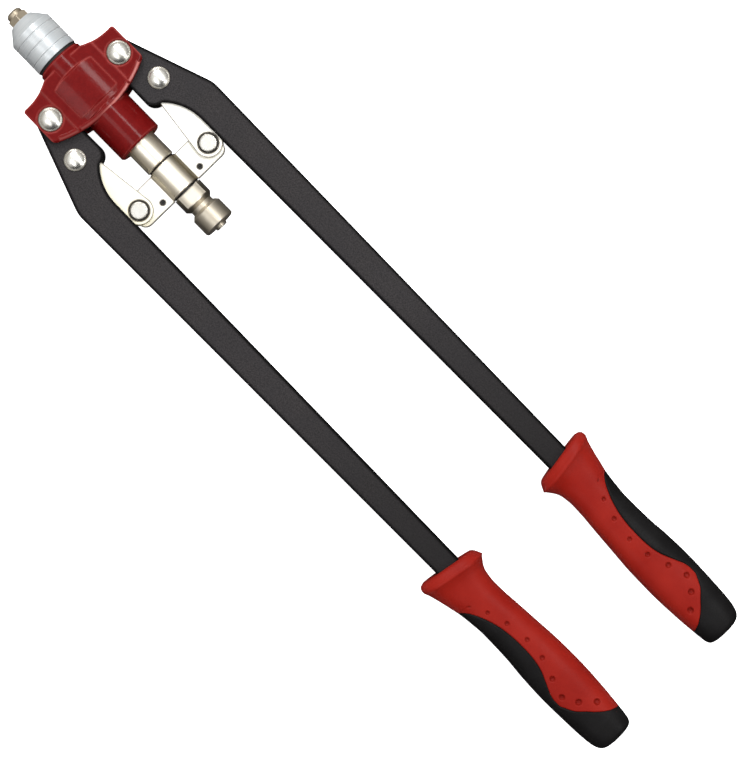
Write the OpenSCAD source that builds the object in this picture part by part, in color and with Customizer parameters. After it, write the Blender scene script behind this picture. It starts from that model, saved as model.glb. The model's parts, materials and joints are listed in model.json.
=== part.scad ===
// Lever hand riveter: two long arms close on a crosshead that pulls the rivet's stem back.
// It lies flat, +Z up, with its nose along +X and the arms closed.
// The origin is the centre of the nosepiece's mouth. A name ending in _s is a distance
// behind the mouth along -X, and one ending in _y is a distance from the tool's axis.

/* [Nosepiece] */
// Bore that takes the rivet's stem
mandrel_bore_d = 5; // [3:0.1:5.6]
// Diameter of the front boss
nose_boss_d = 9.6; // [8:0.1:11]
// Length of the front boss
nose_boss_len = 3.4; // [2:0.1:6]
// Width of the spanner hexagon across its flats
nose_hex_af = 11.6; // [10:0.1:12]
// Length of the spanner hexagon
nose_hex_len = 3.9; // [2.5:0.1:6]
// Diameter of the threaded spigot
nose_spigot_d = 8; // [7.5:0.1:8.6]
// Length of the threaded spigot
nose_spigot_len = 9.5; // [9:0.1:10]
// Bevel on the boss's rim
nose_bevel = 1.2; // [0.2:0.1:1.6]

/* [Front sleeve] */
// Diameter of the sleeve's flat front face
sleeve_face_d = 15; // [14:0.1:18]
// Outside diameter of the sleeve
sleeve_d = 27.2; // [26:0.1:28]
// Length of the cone behind the front face
sleeve_cone_len = 7.4; // [5:0.1:9]
// Length of the sleeve that shows
sleeve_len = 28.4; // [27:0.1:32]
// Thickness of the wall round the nosepiece's spigot
sleeve_front_wall = 8; // [7:0.1:8.4]
// Diameter of the threaded spigot that enters the housing
sleeve_spigot_d = 23.4; // [22.6:0.1:24]
// Length of that spigot
sleeve_spigot_len = 8; // [5:0.1:10]
// Distance from the front face to the first ring groove
ring_groove_start = 11.3; // [9:0.1:13]
// Spacing of the ring grooves
ring_groove_pitch = 6.3; // [4:0.1:7]
// Width of a ring groove
ring_groove_w = 1; // [0.4:0.1:2]
// Depth of a ring groove
ring_groove_depth = 0.45; // [0.2:0.05:0.8]
// Number of ring grooves
ring_groove_count = 3; // [1:1:3]
// Thickness of the seal ring behind the sleeve
seal_t = 1.6; // [0.6:0.1:2]
// How far the seal ring lies below the sleeve's surface
seal_inset = 0.5; // [0.2:0.1:1]

/* [Housing] */
// Outside diameter of the barrel
barrel_d = 28; // [27:0.1:30]
// Bore of the barrel and the sleeve, in which the jaw case slides
cavity_d = 19.6; // [19.2:0.1:20.4]
// Bevel on the barrel's rims
barrel_bevel = 1; // [0.4:0.1:1.5]
// Distance from the housing's front to the arm pivots
pivot_setback = 22.1; // [21.5:0.1:25]
// Distance of each arm pivot from the tool's axis
pivot_y = 26.6; // [26.2:0.1:28]
// Length of the barrel behind the arm pivots
barrel_reach = 43.6; // [40:0.1:45]
// Length of the wings in front of the arm pivots
wing_front = 13.4; // [12.5:0.1:15]
// Length of the wings behind the arm pivots, on the tool's axis
wing_rear = 19.3; // [17:0.1:21]
// Distance of the wings' sides from the tool's axis
wing_y = 34.6; // [34:0.1:37]
// Radius of the wings' bowed rear edge
wing_bow_r = 75; // [68:0.5:85]
// Radius of the hollow curve from the collar to the wings' front
wing_hollow_r = 34; // [30:0.5:40]
// Radius of the wings' front corners
wing_corner_r = 1.6; // [0.5:0.1:3]
// Radius of the wings' rear corners
wing_rear_corner_r = 3; // [1:0.1:5]
// Thickness of each ear above and below the arms
ear_t = 4.1; // [3:0.1:6]
// Radius that rounds the ears' rear rim
ear_round = 2; // [0.8:0.1:2.4]
// Wall that closes the ears at the front
ear_front_wall = 3; // [2:0.1:3.6]
// Height of the raised shelf along the middle of the ears
shelf_h = 0.7; // [0.3:0.1:1.5]
// Half the width of that shelf
shelf_y = 19.7; // [17:0.1:19.8]
// Height of the arched crown above the shelf
crown_h = 2.7; // [2:0.1:4]
// Height of the step at the crown's sides
crown_step = 0.5; // [0.2:0.1:1]
// Half the width of the crown
crown_y = 13.6; // [12:0.1:15]
// Distance from the wings' front to the crown
crown_front = 1.9; // [1:0.1:3]
// Radius of the crown's bowed front end
crown_front_bow_r = 40; // [34:0.5:50]
// Distance from the wings' rear edge to the crown
crown_rear = 6.2; // [5:0.1:7]
// Radius that rounds the crown's ends
crown_end_r = 1.8; // [1:0.1:2.2]
// How far the band behind the crown lies below it
band_drop = 1; // [0.6:0.1:1.3]
// Distance from the wings' rear edge to that band
band_rear = 3.4; // [2.6:0.1:4.4]
// Outside diameter of the bush that guides the pull tube
tube_bush_d = 21.8; // [21.2:0.1:23]
// Length of that bush
tube_bush_len = 26; // [20:0.1:27]

/* [Pivot pins] */
// Diameter of the arm pivots' pins
pivot_pin_d = 9; // [7:0.1:9.6]
// Diameter of the spot face in which their heads sit
pivot_seat_d = 14.8; // [14.2:0.1:15.2]
// Depth of that spot face
pivot_seat_depth = 0.8; // [0.4:0.1:1.2]
// Diameter of their heads
pivot_head_d = 13.4; // [12:0.1:13.6]
// Height of their heads
pivot_head_h = 3; // [2:0.1:4]
// Width of the flat rim round a domed head
head_rim_w = 0.7; // [0.4:0.1:1]
// Share of a domed head's height that is its rim
head_rim_share = 0.27; // [0.2:0.01:0.4]
// Wall of the bush in each arm
arm_bush_wall = 1.5; // [1:0.1:2]
// Diameter of the pins that join arms and links
arm_pin_d = 7; // [5.5:0.1:7.2]
// Diameter of their heads
arm_head_d = 12.5; // [11:0.1:13]
// Height of their heads
arm_head_h = 2.6; // [1:0.1:3]
// Diameter of the pins that join links and crosshead
link_pin_d = 7.4; // [6:0.1:8]
// Diameter of their heads
link_head_d = 9.8; // [9:0.1:10]
// Height of their heads above the links
link_head_h = 1.3; // [0.8:0.1:2]
// Diameter of the recess round those heads
link_recess_d = 12; // [11.4:0.1:12.4]
// Depth of that recess
link_recess_depth = 0.9; // [0.4:0.1:1.2]
// Share of the recess's depth that the snap ring fills
link_ring_share = 0.8; // [0.5:0.05:0.9]

/* [Arms] */
// Distance from the arm pivot back to the link's pin
crank_len = 25.2; // [24.6:0.1:25.8]
// Distance from the arm pivot out to the link's pin
crank_y = 6.1; // [5.6:0.1:6.6]
// Radius of the arm's end round its pivot
arm_boss_r = 8.6; // [8:0.1:9.2]
// Angle at which the arm's outer edge spreads
arm_spread = 19.6; // [18:0.1:22]
// Distance from the arm pivot back to the shoulder
shoulder_len = 48.2; // [46:0.1:50]
// Radius that rounds the shoulder
shoulder_r = 20; // [10:1:30]
// Distance from the arm's end, inside the grip, to the grip's rear end
arm_inset = 13.9; // [11:0.1:28]
// Width of the arm behind the shoulder
arm_w_root = 19.4; // [18.6:0.1:21]
// Width of the arm at its end
arm_w_end = 12.4; // [11.6:0.1:14]
// Distance that the arm's centreline moves out from shoulder to end
arm_drift = -0.2; // [-1:0.1:1.5]
// Thickness of the pressed steel of the arms
cheek_t = 2; // [1.5:0.1:2.4]
// How far the cheek's lobe reaches behind the arm pivot
lobe_len = 36.2; // [35.6:0.1:37]
// How far the lobe's inner edge lies inside the arm pivot
lobe_drop = 9; // [8.8:0.1:10]
// Radius of the lobe's rear corner
lobe_r = 6.8; // [4:0.1:7]
// Length of the hollow behind the lobe
hollow_len = 22; // [20:0.5:24]
// Radius of that hollow
hollow_r = 31; // [28:0.5:40]

/* [Links and crosshead] */
// Distance between the holes of a link
link_len = 45.3; // [44.6:0.1:46]
// Half the width of a link
link_r = 8.1; // [7.4:0.1:8.4]
// Outside radius of the link's eye round the arm's pin
eye_r = 6.7; // [6.5:0.1:6.9]
// Thickness of a link
link_t = 2.5; // [1.8:0.1:3.5]
// Free play round the arm's pin in the link's eye
eye_play = 1.6; // [1.55:0.05:1.9]
// Distance of the crosshead's pins from the tool's axis
link_pin_y = 27; // [26:0.1:27.4]
// Thickness of the crosshead's plate
plate_t = 5; // [4:0.1:7]
// Length of the plate along the tool
plate_len = 19.2; // [17:0.1:20]
// How far the plate's middle lies behind its pins
plate_back = 0.5; // [0:0.1:1]
// Distance of the plate's ends from the tool's axis
plate_y = 32.6; // [32:0.1:33.4]
// Radius of the plate's corners
plate_corner_r = 5; // [2:0.1:6]
// Outside diameter of the crosshead's hub
hub_d = 19.2; // [18:0.1:20]
// Length of the hub
hub_len = 19.2; // [17:0.1:20]
// Diameter of the plate's small cross holes
cross_hole_d = 3.2; // [2.5:0.1:4]
// Distance of the small holes from the tool's axis
cross_hole_y = 14.5; // [13:0.1:16]
// Distance of the small holes behind the link pins
cross_hole_back = 5.8; // [4:0.1:6.5]
// How far the screws in those holes lie below the plate's faces
cross_screw_sink = 0.5; // [0.2:0.1:1]
// Width of the hexagonal socket in those screws
cross_socket_af = 1.5; // [1:0.1:1.6]
// Depth of that socket
cross_socket_depth = 1.1; // [0.5:0.1:1.2]

/* [Pull tube and rear end] */
// Outside diameter of the pull tube
tube_d = 18.6; // [17.6:0.1:18.6]
// Diameter of its rear shank, inside the crosshead
shank_d = 10; // [9:0.1:11]
// Diameter of the washers at both sides of the hub
washer_d = 16.8; // [15:0.1:17.4]
// Thickness of those washers
washer_t = 1.1; // [0.6:0.1:1.6]
// Diameter of the lock nut
lock_nut_d = 18.6; // [17.6:0.1:19]
// Width of the lock nut across its two flats for a spanner
lock_nut_flats = 12.6; // [12:0.1:14]
// Length of those flats
lock_nut_flats_len = 7.8; // [5:0.1:8]
// Length of the lock nut
lock_nut_len = 10.7; // [10.6:0.1:12]
// Bevel behind those flats, along and across
lock_nut_bevel = 2.2; // [1:0.1:2.4]
// Diameter of the end cap's neck
cap_neck_d = 14.2; // [13.8:0.1:16]
// Length of the end cap's neck
cap_neck_len = 2.4; // [1.5:0.1:6]
// Diameter of the end cap's knob
cap_knob_d = 19.4; // [18:0.1:21]
// Length of the end cap's knob
cap_knob_len = 13; // [10:0.1:16]
// Bevel at the knob's front
cap_front_bevel = 2; // [0.5:0.1:3]
// Bevel at the knob's rear
cap_rear_bevel = 0.9; // [0.3:0.1:2]
// Outside diameter of the tube that lets the broken stems out
stem_tube_d = 7.2; // [6.6:0.1:7.8]
// Wall of that tube
stem_tube_wall = 0.9; // [0.6:0.1:1]
// How far it stands out behind the end cap
stem_tube_out = 1.6; // [0.5:0.1:4]

/* [Jaws] */
// Outside diameter of the jaw case
case_d = 18.6; // [17.8:0.1:18.8]
// Wall of the jaw case behind its cone
case_wall = 1.7; // [1.5:0.1:2]
// Half-angle of the jaw case's cone
jaw_angle = 9; // [7:0.5:10]
// Length of a jaw
jaw_len = 14; // [10:0.5:15]
// Outside radius of the closed jaws at their front
jaw_front_r = 4.5; // [4.4:0.05:4.7]
// Radius of the closed jaws' grip on the stem
jaw_grip_r = 1.5; // [1:0.1:2]
// Space between two jaws
jaw_split = 0.6; // [0.4:0.1:1]
// How far the jaws can be pushed back to open
jaw_travel = 3.3; // [2:0.1:4]
// Thickness of the jaw pusher's flange
pusher_flange_t = 3; // [2:0.1:4]
// Diameter of the pusher's shank
pusher_shank_d = 7.8; // [7:0.1:8]
// Length of the pusher's shank
pusher_shank_len = 20; // [18:0.5:21]
// Bore through the pusher
pusher_bore_d = 5.4; // [5:0.1:5.6]
// Length kept for the jaw spring when the jaws are open
spring_len = 12.6; // [11:0.1:14]
// Wire of the jaw spring
spring_wire_d = 1.2; // [0.8:0.1:1.3]
// Number of turns of the jaw spring
spring_turns = 6; // [4:1:8]

/* [Grips] */
// Distance from the arm pivot to the grip's front
grip_start = 332.7; // [325:0.1:340]
// Length of a grip
grip_len = 135.2; // [130:0.1:140]
// Width of the grip's front flange
flange_w = 39; // [36:0.5:42]
// Thickness of the grip's front flange
flange_t = 28; // [26:0.5:30]
// Width of the grip behind its flange
waist_w = 26.6; // [25:0.1:28]
// Width of the grip at the palm
palm_w = 30.7; // [30:0.1:34]
// Width of the grip near its end
tail_w = 25.4; // [24:0.1:27]
// Thickness of the grip
grip_t = 24; // [23:0.5:26]
// Slant of the flange, as a slope
flange_slope = 0.15; // [0:0.01:0.2]

/* [Fits] */
// Gap between plates that slide on each other
side_gap = 0.3; // [0.2:0.05:0.5]
// Radial clearance of shafts that run in bores
running_gap = 0.05; // [0.02:0.01:0.1]
// Radial clearance of pieces that are pressed or screwed together
fixed_gap = 0.02; // [0.01:0.01:0.05]
// Clearance that is left where a piece comes to its stop
stop_gap = 0.4; // [0.3:0.1:0.8]
// Greatest opening of each arm, in degrees
arm_open = 40; // [30:1:40]
// Travel of the crosshead for each degree of an arm
travel_per_degree = 0.33; // [0.32:0.01:0.34]

/* [Hidden] */
$fn = 96;
// Facets of the swept and lofted pieces
sweep_fn = 10;
turn_fn = 20;
loft_fn = 32;

// Stack from the middle plane outwards: plate, link, arm cheek, ear
link_z = plate_t / 2 + side_gap;
cheek_z = link_z + link_t + side_gap;
arm_z = cheek_z + cheek_t;
ear_z = arm_z + side_gap;
wing_z = ear_z + ear_t;
shelf_z = wing_z + shelf_h;
crown_z = shelf_z + crown_h;
pivot_seat_z = wing_z - pivot_seat_depth;

// Stations behind the mouth
sleeve_s = nose_boss_len + nose_hex_len;
nose_end_s = sleeve_s + nose_spigot_len;
sleeve_end_s = sleeve_s + sleeve_len;
housing_s = sleeve_end_s + seal_t;
pivot_s = housing_s + pivot_setback;
barrel_end_s = pivot_s + barrel_reach;
bow_s = pivot_s + wing_rear - wing_bow_r;
crank_s = pivot_s + crank_len;
arm_pin_y = pivot_y + crank_y;
arm_len = grip_start + grip_len - arm_inset;
link_rise = arm_pin_y - link_pin_y;
link_angle = asin(link_rise / link_len);
link_pin_s = crank_s + link_len * cos(link_angle);
hub_s = link_pin_s - hub_len / 2;
hub_end_s = link_pin_s + hub_len / 2;
tube_end_s = hub_s - washer_t;
lock_nut_s = hub_end_s + washer_t;
cap_s = lock_nut_s + lock_nut_len;
knob_s = cap_s + cap_neck_len;
cap_end_s = knob_s + cap_knob_len;
shank_end_s = cap_end_s - cap_knob_len / 2;

// The jaws lie one full stroke behind the nosepiece while the arms are closed
stroke = arm_open * travel_per_degree;
jaw_s = nose_end_s + stroke + stop_gap;
case_lip = 1.2;
case_s = jaw_s - case_lip;
jaw_end_s = jaw_s + jaw_len;
jaw_clear = 0.2;
jaw_rear_r = jaw_front_r + jaw_len * tan(jaw_angle);
case_bore_r = case_d / 2 - case_wall;
pusher_s = jaw_end_s + 0.1;
pusher_back_s = pusher_s + pusher_flange_t;
spring_rear_s = pusher_back_s + jaw_travel + spring_len;
tube_s = spring_rear_s;
case_thread_len = 6;
case_end_s = tube_s + case_thread_len;
pusher_end_s = pusher_back_s + pusher_shank_len;
stem_tube_s = pusher_end_s + jaw_travel + stop_gap;
stem_tube_end_s = cap_end_s + stem_tube_out;

// Points of an arc about a centre, from one angle to another
function arc(centre, r, from, to, steps = 12) =
    [for (i = [0 : steps]) let (a = from + (to - from) * i / steps) centre + r * [cos(a), sin(a)]];

// A solid of revolution about the tool's axis, from an outline in [radius, distance behind the mouth]
module turned(outline) {
    rotate([0, -90, 0]) rotate_extrude() polygon(outline);
}

// A plain ring or tube about the tool's axis
module tube(outer_r, inner_r, from, to) {
    turned([[inner_r, from], [outer_r, from], [outer_r, to], [inner_r, to]]);
}

// A hexagonal bar about the tool's axis
module hex_bar(af, from, to) {
    translate([-from, 0, 0]) rotate([0, -90, 0]) cylinder(d = af / cos(30), h = to - from, $fn = 6);
}

// Plan shapes are drawn in [distance behind the mouth, distance from the axis]
module plan() {
    mirror([1, 0, 0]) children();
}

// Shapes drawn about the left arm's pivot, in [distance back, distance out]
module at_pivot() {
    translate([-pivot_s, pivot_y, 0]) mirror([1, 0, 0]) children();
}

module other_side() {
    mirror([0, 1, 0]) children();
}

module both_sides() {
    children();
    other_side() children();
}

module above_and_below() {
    children();
    mirror([0, 0, 1]) children();
}

// A flat plate between two heights
module slab(from, to) {
    translate([0, 0, from]) linear_extrude(to - from) children();
}

// A domed head with a flat rim, on the plane z = 0
module domed_head(d, h) {
    rim = h * head_rim_share;
    dome = h - rim;
    r = d / 2;
    dome_r = r - head_rim_w;
    ball_r = (dome_r * dome_r + dome * dome) / (2 * dome);
    edge = asin(dome_r / ball_r);
    rotate_extrude() polygon(concat(
        [[0, 0], [r, 0], [r, rim]],
        arc([0, h - ball_r], ball_r, 90 - edge, 90, 10)
    ));
}

module nosepiece() {
    boss_r = nose_boss_d / 2;
    spigot_r = nose_spigot_d / 2;
    color("tan") difference() {
        union() {
            turned([[0, 0], [boss_r - nose_bevel, 0], [boss_r, nose_bevel], [boss_r, nose_boss_len],
                    [spigot_r, nose_boss_len], [spigot_r, nose_end_s], [0, nose_end_s]]);
            intersection() {
                hex_bar(nose_hex_af, nose_boss_len, sleeve_s);
                turned(hex_bevel(nose_hex_af, nose_boss_len, sleeve_s));
            }
        }
        tube(mandrel_bore_d / 2, 0, -1, nose_end_s + 1);
    }
}

// The cone that takes the corners off a hexagon's front
function hex_bevel(af, from, to) =
    let (corner_r = af / cos(30) / 2, flat_r = af / 2)
    [[0, from], [flat_r, from], [corner_r, from + (corner_r - flat_r)], [corner_r, to], [0, to]];

module front_sleeve() {
    r = sleeve_d / 2;
    spigot_r = sleeve_spigot_d / 2;
    hole_r = nose_spigot_d / 2 + fixed_gap;
    wall_s = sleeve_s + sleeve_front_wall;
    spigot_end_s = housing_s + sleeve_spigot_len;
    color("silver") difference() {
        turned([[hole_r, sleeve_s], [sleeve_face_d / 2, sleeve_s], [r, sleeve_s + sleeve_cone_len],
                [r, sleeve_end_s], [spigot_r, sleeve_end_s], [spigot_r, spigot_end_s],
                [cavity_d / 2, spigot_end_s], [cavity_d / 2, wall_s], [hole_r, wall_s]]);
        for (i = [0 : ring_groove_count - 1]) ring_groove(sleeve_s + ring_groove_start + i * ring_groove_pitch);
    }
}

module ring_groove(s) {
    r = sleeve_d / 2;
    turned([[r + 1, s - ring_groove_w / 2], [r, s - ring_groove_w / 2], [r - ring_groove_depth, s],
            [r, s + ring_groove_w / 2], [r + 1, s + ring_groove_w / 2]]);
}

module sleeve_seal() {
    color("black") tube(sleeve_d / 2 - seal_inset, sleeve_spigot_d / 2 + fixed_gap, sleeve_end_s, housing_s);
}

// Half of the wings' outline, on the left of the axis
function wing_half() =
    let (
        front_s = pivot_s - wing_front,
        bow = [bow_s, 0],
        hollow_y = wing_y - wing_corner_r - 2.5,
        hollow_from = asin((hollow_y - barrel_d / 2) / wing_hollow_r),
        rear_y = wing_y - wing_rear_corner_r,
        rear_turn = asin(rear_y / (wing_bow_r - wing_rear_corner_r)),
        rear_corner = bow + [(wing_bow_r - wing_rear_corner_r) * cos(rear_turn), rear_y]
    )
    concat(
        [[front_s - wing_hollow_r * (1 - cos(hollow_from)), 0]],
        arc([front_s - wing_hollow_r, hollow_y], wing_hollow_r, -hollow_from, 0),
        arc([front_s + wing_corner_r, wing_y - wing_corner_r], wing_corner_r, 180, 90, 6),
        arc(rear_corner, wing_rear_corner_r, 90, rear_turn, 6),
        arc(bow, wing_bow_r, rear_turn, 0, 20)
    );

module wing_plan() {
    plan() both_sides() polygon(wing_half());
}

// A solid of revolution about the upright line through the centre of the bowed rear edge
module bowed(outline) {
    translate([-bow_s, 0, 0]) rotate_extrude($fn = 240) polygon(outline);
}

// Rounds the bowed rear edge under a plate's top
module bow_round(top_z) {
    rim_r = wing_bow_r - ear_round;
    bowed(concat(
        [[wing_bow_r + 1, top_z + 1], [rim_r, top_z + 1]],
        arc([rim_r, top_z - ear_round], ear_round, 90, 0),
        [[wing_bow_r + 1, top_z - ear_round]]
    ));
}

// One ear and the raised shelf along its middle
module ear() {
    difference() {
        slab(0, wing_z) wing_plan();
        bow_round(wing_z);
        both_sides() translate([-pivot_s, pivot_y, pivot_seat_z]) cylinder(d = pivot_seat_d, h = ear_t);
    }
    difference() {
        slab(ear_z, shelf_z) intersection() {
            wing_plan();
            plan() translate([0, -shelf_y]) square([pivot_s + wing_rear, 2 * shelf_y]);
        }
        bow_round(shelf_z);
        both_sides() translate([-pivot_s, pivot_y, pivot_seat_z]) cylinder(d = pivot_seat_d, h = ear_t);
    }
}

// A disc on the shelf with a rounded rim, the outline of one bowed end of the crown
module end_disc(centre_s, r, top_z) {
    translate([-centre_s, 0, 0]) rotate_extrude($fn = 240) polygon(concat(
        [[0, ear_z], [r, ear_z]],
        arc([r - crown_end_r, top_z - crown_end_r], crown_end_r, 0, 90, 6),
        [[0, top_z]]
    ));
}

// An arched raised part on the shelf, up to a height and down to a distance from the rear edge
module arched(top_z, rear_gap) {
    front_s = pivot_s - wing_front + crown_front;
    run = wing_front + wing_rear;
    sag = crown_h - crown_step;
    arch_r = (crown_y * crown_y + sag * sag) / (2 * sag);
    intersection() {
        end_disc(front_s + crown_front_bow_r, crown_front_bow_r, top_z);
        end_disc(bow_s, wing_bow_r - rear_gap, top_z);
        translate([-front_s + 1, 0, top_z - arch_r]) rotate([0, -90, 0])
            cylinder(r = arch_r, h = run, $fn = 360);
        translate([-front_s - run, -crown_y, 0]) cube([run + 1, 2 * crown_y, crown_z]);
    }
}

module crown() {
    arched(crown_z, crown_rear);
    arched(crown_z - band_drop, band_rear);
}

module housing() {
    r = barrel_d / 2;
    spigot_r = sleeve_spigot_d / 2 + fixed_gap;
    spigot_end_s = housing_s + sleeve_spigot_len + stop_gap;
    bush_r = tube_bush_d / 2 + fixed_gap;
    bush_s = barrel_end_s - tube_bush_len;
    color("firebrick") difference() {
        union() {
            turned([[0, housing_s], [r - barrel_bevel, housing_s], [r, housing_s + barrel_bevel],
                    [r, barrel_end_s - barrel_bevel], [r - barrel_bevel, barrel_end_s], [0, barrel_end_s]]);
            difference() {
                above_and_below() ear();
                // Slots in which the arms swing
                both_sides() slab(-ear_z, ear_z) plan()
                    translate([pivot_s - wing_front + ear_front_wall, 0])
                        square([wing_front + wing_rear, wing_y + 1]);
            }
            above_and_below() crown();
        }
        tube(spigot_r, 0, housing_s - 1, spigot_end_s);
        tube(cavity_d / 2, 0, housing_s, barrel_end_s);
        tube(bush_r, 0, bush_s, barrel_end_s + 1);
        both_sides() translate([-pivot_s, pivot_y, -wing_z - 1])
            cylinder(d = pivot_pin_d + 2 * fixed_gap, h = 2 * wing_z + 2);
    }
}

module tube_bush() {
    color("goldenrod")
        tube(tube_bush_d / 2, tube_d / 2 + running_gap, barrel_end_s - tube_bush_len, barrel_end_s - 0.3);
}

// The upper part of a headed pin: a domed head on top and a shank down to the nut
module headed_pin(shank_d, head_d, head_h, seat_z) {
    translate([0, 0, seat_z]) domed_head(head_d, head_h);
    translate([0, 0, -seat_z]) cylinder(d = shank_d, h = 2 * seat_z);
}

// The domed nut at the underside, screwed on the pin's end
module domed_nut(head_d, head_h, seat_z) {
    mirror([0, 0, 1]) translate([0, 0, seat_z]) domed_head(head_d, head_h);
}

module pivot_pins() {
    color("lightgray") both_sides() translate([-pivot_s, pivot_y, 0])
        headed_pin(pivot_pin_d, pivot_head_d, pivot_head_h, pivot_seat_z);
}

module pivot_nuts() {
    color("gray") both_sides() translate([-pivot_s, pivot_y, 0])
        domed_nut(pivot_head_d, pivot_head_h, pivot_seat_z);
}

module jaw_case() {
    cone_end_s = jaw_end_s + jaw_travel + 0.5;
    lip_r = jaw_front_r + jaw_clear;
    cone_end_r = lip_r + (cone_end_s - jaw_s) * tan(jaw_angle);
    color("dimgray") turned([
        [lip_r, case_s], [case_d / 2 - 1, case_s], [case_d / 2, case_s + 1], [case_d / 2, case_end_s],
        [case_bore_r, case_end_s], [case_bore_r, cone_end_s + 0.2], [cone_end_r, cone_end_s], [lip_r, jaw_s]
    ]);
}

// The part of the space round the axis that belongs to one jaw
module jaw_sector(turn) {
    reach = case_d;
    rotate([turn, 0, 0]) translate([-jaw_end_s - 1, 0, 0]) rotate([90, 0, 90]) linear_extrude(jaw_len + 2)
        translate([0, jaw_split / 2 / sin(60)])
            polygon([[0, 0], [reach * sin(60), reach * cos(60)], [0, 2 * reach], [-reach * sin(60), reach * cos(60)]]);
}

module jaw(turn) {
    tooth = 0.35;
    teeth = floor(jaw_len - 2);
    color("slategray") intersection() {
        turned(concat(
            [[jaw_front_r, jaw_s], [jaw_rear_r, jaw_end_s], [jaw_grip_r + 1.2, jaw_end_s]],
            [for (i = [teeth : -1 : 1]) each [[jaw_grip_r + tooth, jaw_s + i + 0.5], [jaw_grip_r, jaw_s + i]]],
            [[jaw_grip_r + 0.6, jaw_s]]
        ));
        jaw_sector(turn);
    }
}

module jaw_a() { jaw(0); }
module jaw_b() { jaw(120); }
module jaw_c() { jaw(240); }

module jaw_pusher() {
    flange_r = jaw_rear_r - 0.3;
    shank_r = pusher_shank_d / 2;
    bore_r = pusher_bore_d / 2;
    color("gray") turned([[bore_r, pusher_s], [flange_r, pusher_s], [flange_r, pusher_back_s],
                          [shank_r, pusher_back_s], [shank_r, pusher_end_s], [bore_r, pusher_end_s]]);
}

// Rings of points along the spring's helix, joined into one closed sweep
module jaw_spring() {
    wire_r = spring_wire_d / 2;
    coil_r = pusher_shank_d / 2 + 0.4 + wire_r;
    run = spring_len - spring_wire_d;
    rings = spring_turns * turn_fn;
    pitch = run / spring_turns;
    start_s = spring_rear_s - wire_r;
    lean = atan(pitch / (2 * PI * coil_r));
    points = [for (i = [0 : rings], j = [0 : sweep_fn - 1])
        let (
            a = 360 * i / turn_fn,
            b = 360 * j / sweep_fn,
            rad = coil_r + wire_r * cos(b),
            side = wire_r * sin(b) * sin(lean)
        )
        [-start_s + run * i / rings + wire_r * sin(b) * cos(lean),
         rad * cos(a) + side * sin(a),
         rad * sin(a) - side * cos(a)]];
    walls = [for (i = [0 : rings - 1], j = [0 : sweep_fn - 1])
        let (k = (j + 1) % sweep_fn, p = i * sweep_fn, q = p + sweep_fn)
        each [[p + j, q + j, q + k], [p + j, q + k, p + k]]];
    ends = [[for (j = [0 : sweep_fn - 1]) j], [for (j = [sweep_fn - 1 : -1 : 0]) rings * sweep_fn + j]];
    color("silver") polyhedron(points, concat(walls, ends));
}

module pull_tube() {
    r = tube_d / 2;
    thread_r = case_bore_r - fixed_gap;
    shank_r = shank_d / 2;
    pusher_r = pusher_shank_d / 2 + 0.2;
    stem_r = stem_tube_d / 2 + running_gap;
    color("gainsboro") turned([
        [pusher_r, tube_s], [thread_r, tube_s], [thread_r, case_end_s], [r, case_end_s],
        [r, tube_end_s - 0.5], [r - 0.5, tube_end_s], [shank_r, tube_end_s], [shank_r, shank_end_s],
        [stem_r, shank_end_s], [stem_r, stem_tube_s - 0.2], [pusher_r, stem_tube_s - 0.2]
    ]);
}

module crosshead() {
    hub_r = hub_d / 2;
    plate_s = link_pin_s + plate_back - plate_len / 2;
    plate_end_s = plate_s + plate_len;
    corner_y = plate_y - plate_corner_r;
    color("ivory") difference() {
        union() {
            turned([[0, hub_s], [hub_r - 0.4, hub_s], [hub_r, hub_s + 0.4], [hub_r, hub_end_s - 0.4],
                    [hub_r - 0.4, hub_end_s], [0, hub_end_s]]);
            slab(-plate_t / 2, plate_t / 2) plan() both_sides() polygon(concat(
                [[plate_s, 0]],
                arc([plate_s + plate_corner_r, corner_y], plate_corner_r, 180, 90, 8),
                arc([plate_end_s - plate_corner_r, corner_y], plate_corner_r, 90, 0, 8),
                [[plate_end_s, 0]]
            ));
        }
        tube(shank_d / 2 + fixed_gap, 0, hub_s - 1, hub_end_s + 1);
        // Spot face for the rear washer and the nut
        tube(hub_r, 0, hub_end_s, plate_end_s + 1);
        both_sides() {
            translate([-link_pin_s, link_pin_y, -plate_t]) cylinder(d = link_pin_d + 2 * fixed_gap, h = 2 * plate_t);
            translate([-link_pin_s - cross_hole_back, cross_hole_y, -plate_t])
                cylinder(d = cross_hole_d, h = 2 * plate_t);
        }
    }
}

// Headless screws that close the plate's small holes
module plate_screws() {
    half_len = plate_t / 2 - cross_screw_sink;
    color("dimgray") both_sides() translate([-link_pin_s - cross_hole_back, cross_hole_y, 0]) difference() {
        translate([0, 0, -half_len]) cylinder(r = cross_hole_d / 2 - fixed_gap, h = 2 * half_len);
        above_and_below() translate([0, 0, half_len - cross_socket_depth])
            cylinder(d = cross_socket_af / cos(30), h = cross_socket_depth + 1, $fn = 6);
    }
}

module hub_washers() {
    hole_r = shank_d / 2 + fixed_gap;
    color("dimgray") {
        tube(washer_d / 2, hole_r, tube_end_s, hub_s);
        tube(washer_d / 2, hole_r, hub_end_s, lock_nut_s);
    }
}

// A round nut with two flats for a spanner, above and below
module lock_nut() {
    r = lock_nut_d / 2;
    bore_r = shank_d / 2 + fixed_gap;
    color("silver") difference() {
        turned([[bore_r, lock_nut_s], [r, lock_nut_s], [r, cap_s - lock_nut_bevel], [r - lock_nut_bevel, cap_s],
                [bore_r, cap_s]]);
        above_and_below() translate([-lock_nut_s - lock_nut_flats_len, -lock_nut_d, lock_nut_flats / 2])
            cube([lock_nut_flats_len + 1, 2 * lock_nut_d, lock_nut_d]);
    }
}

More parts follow.
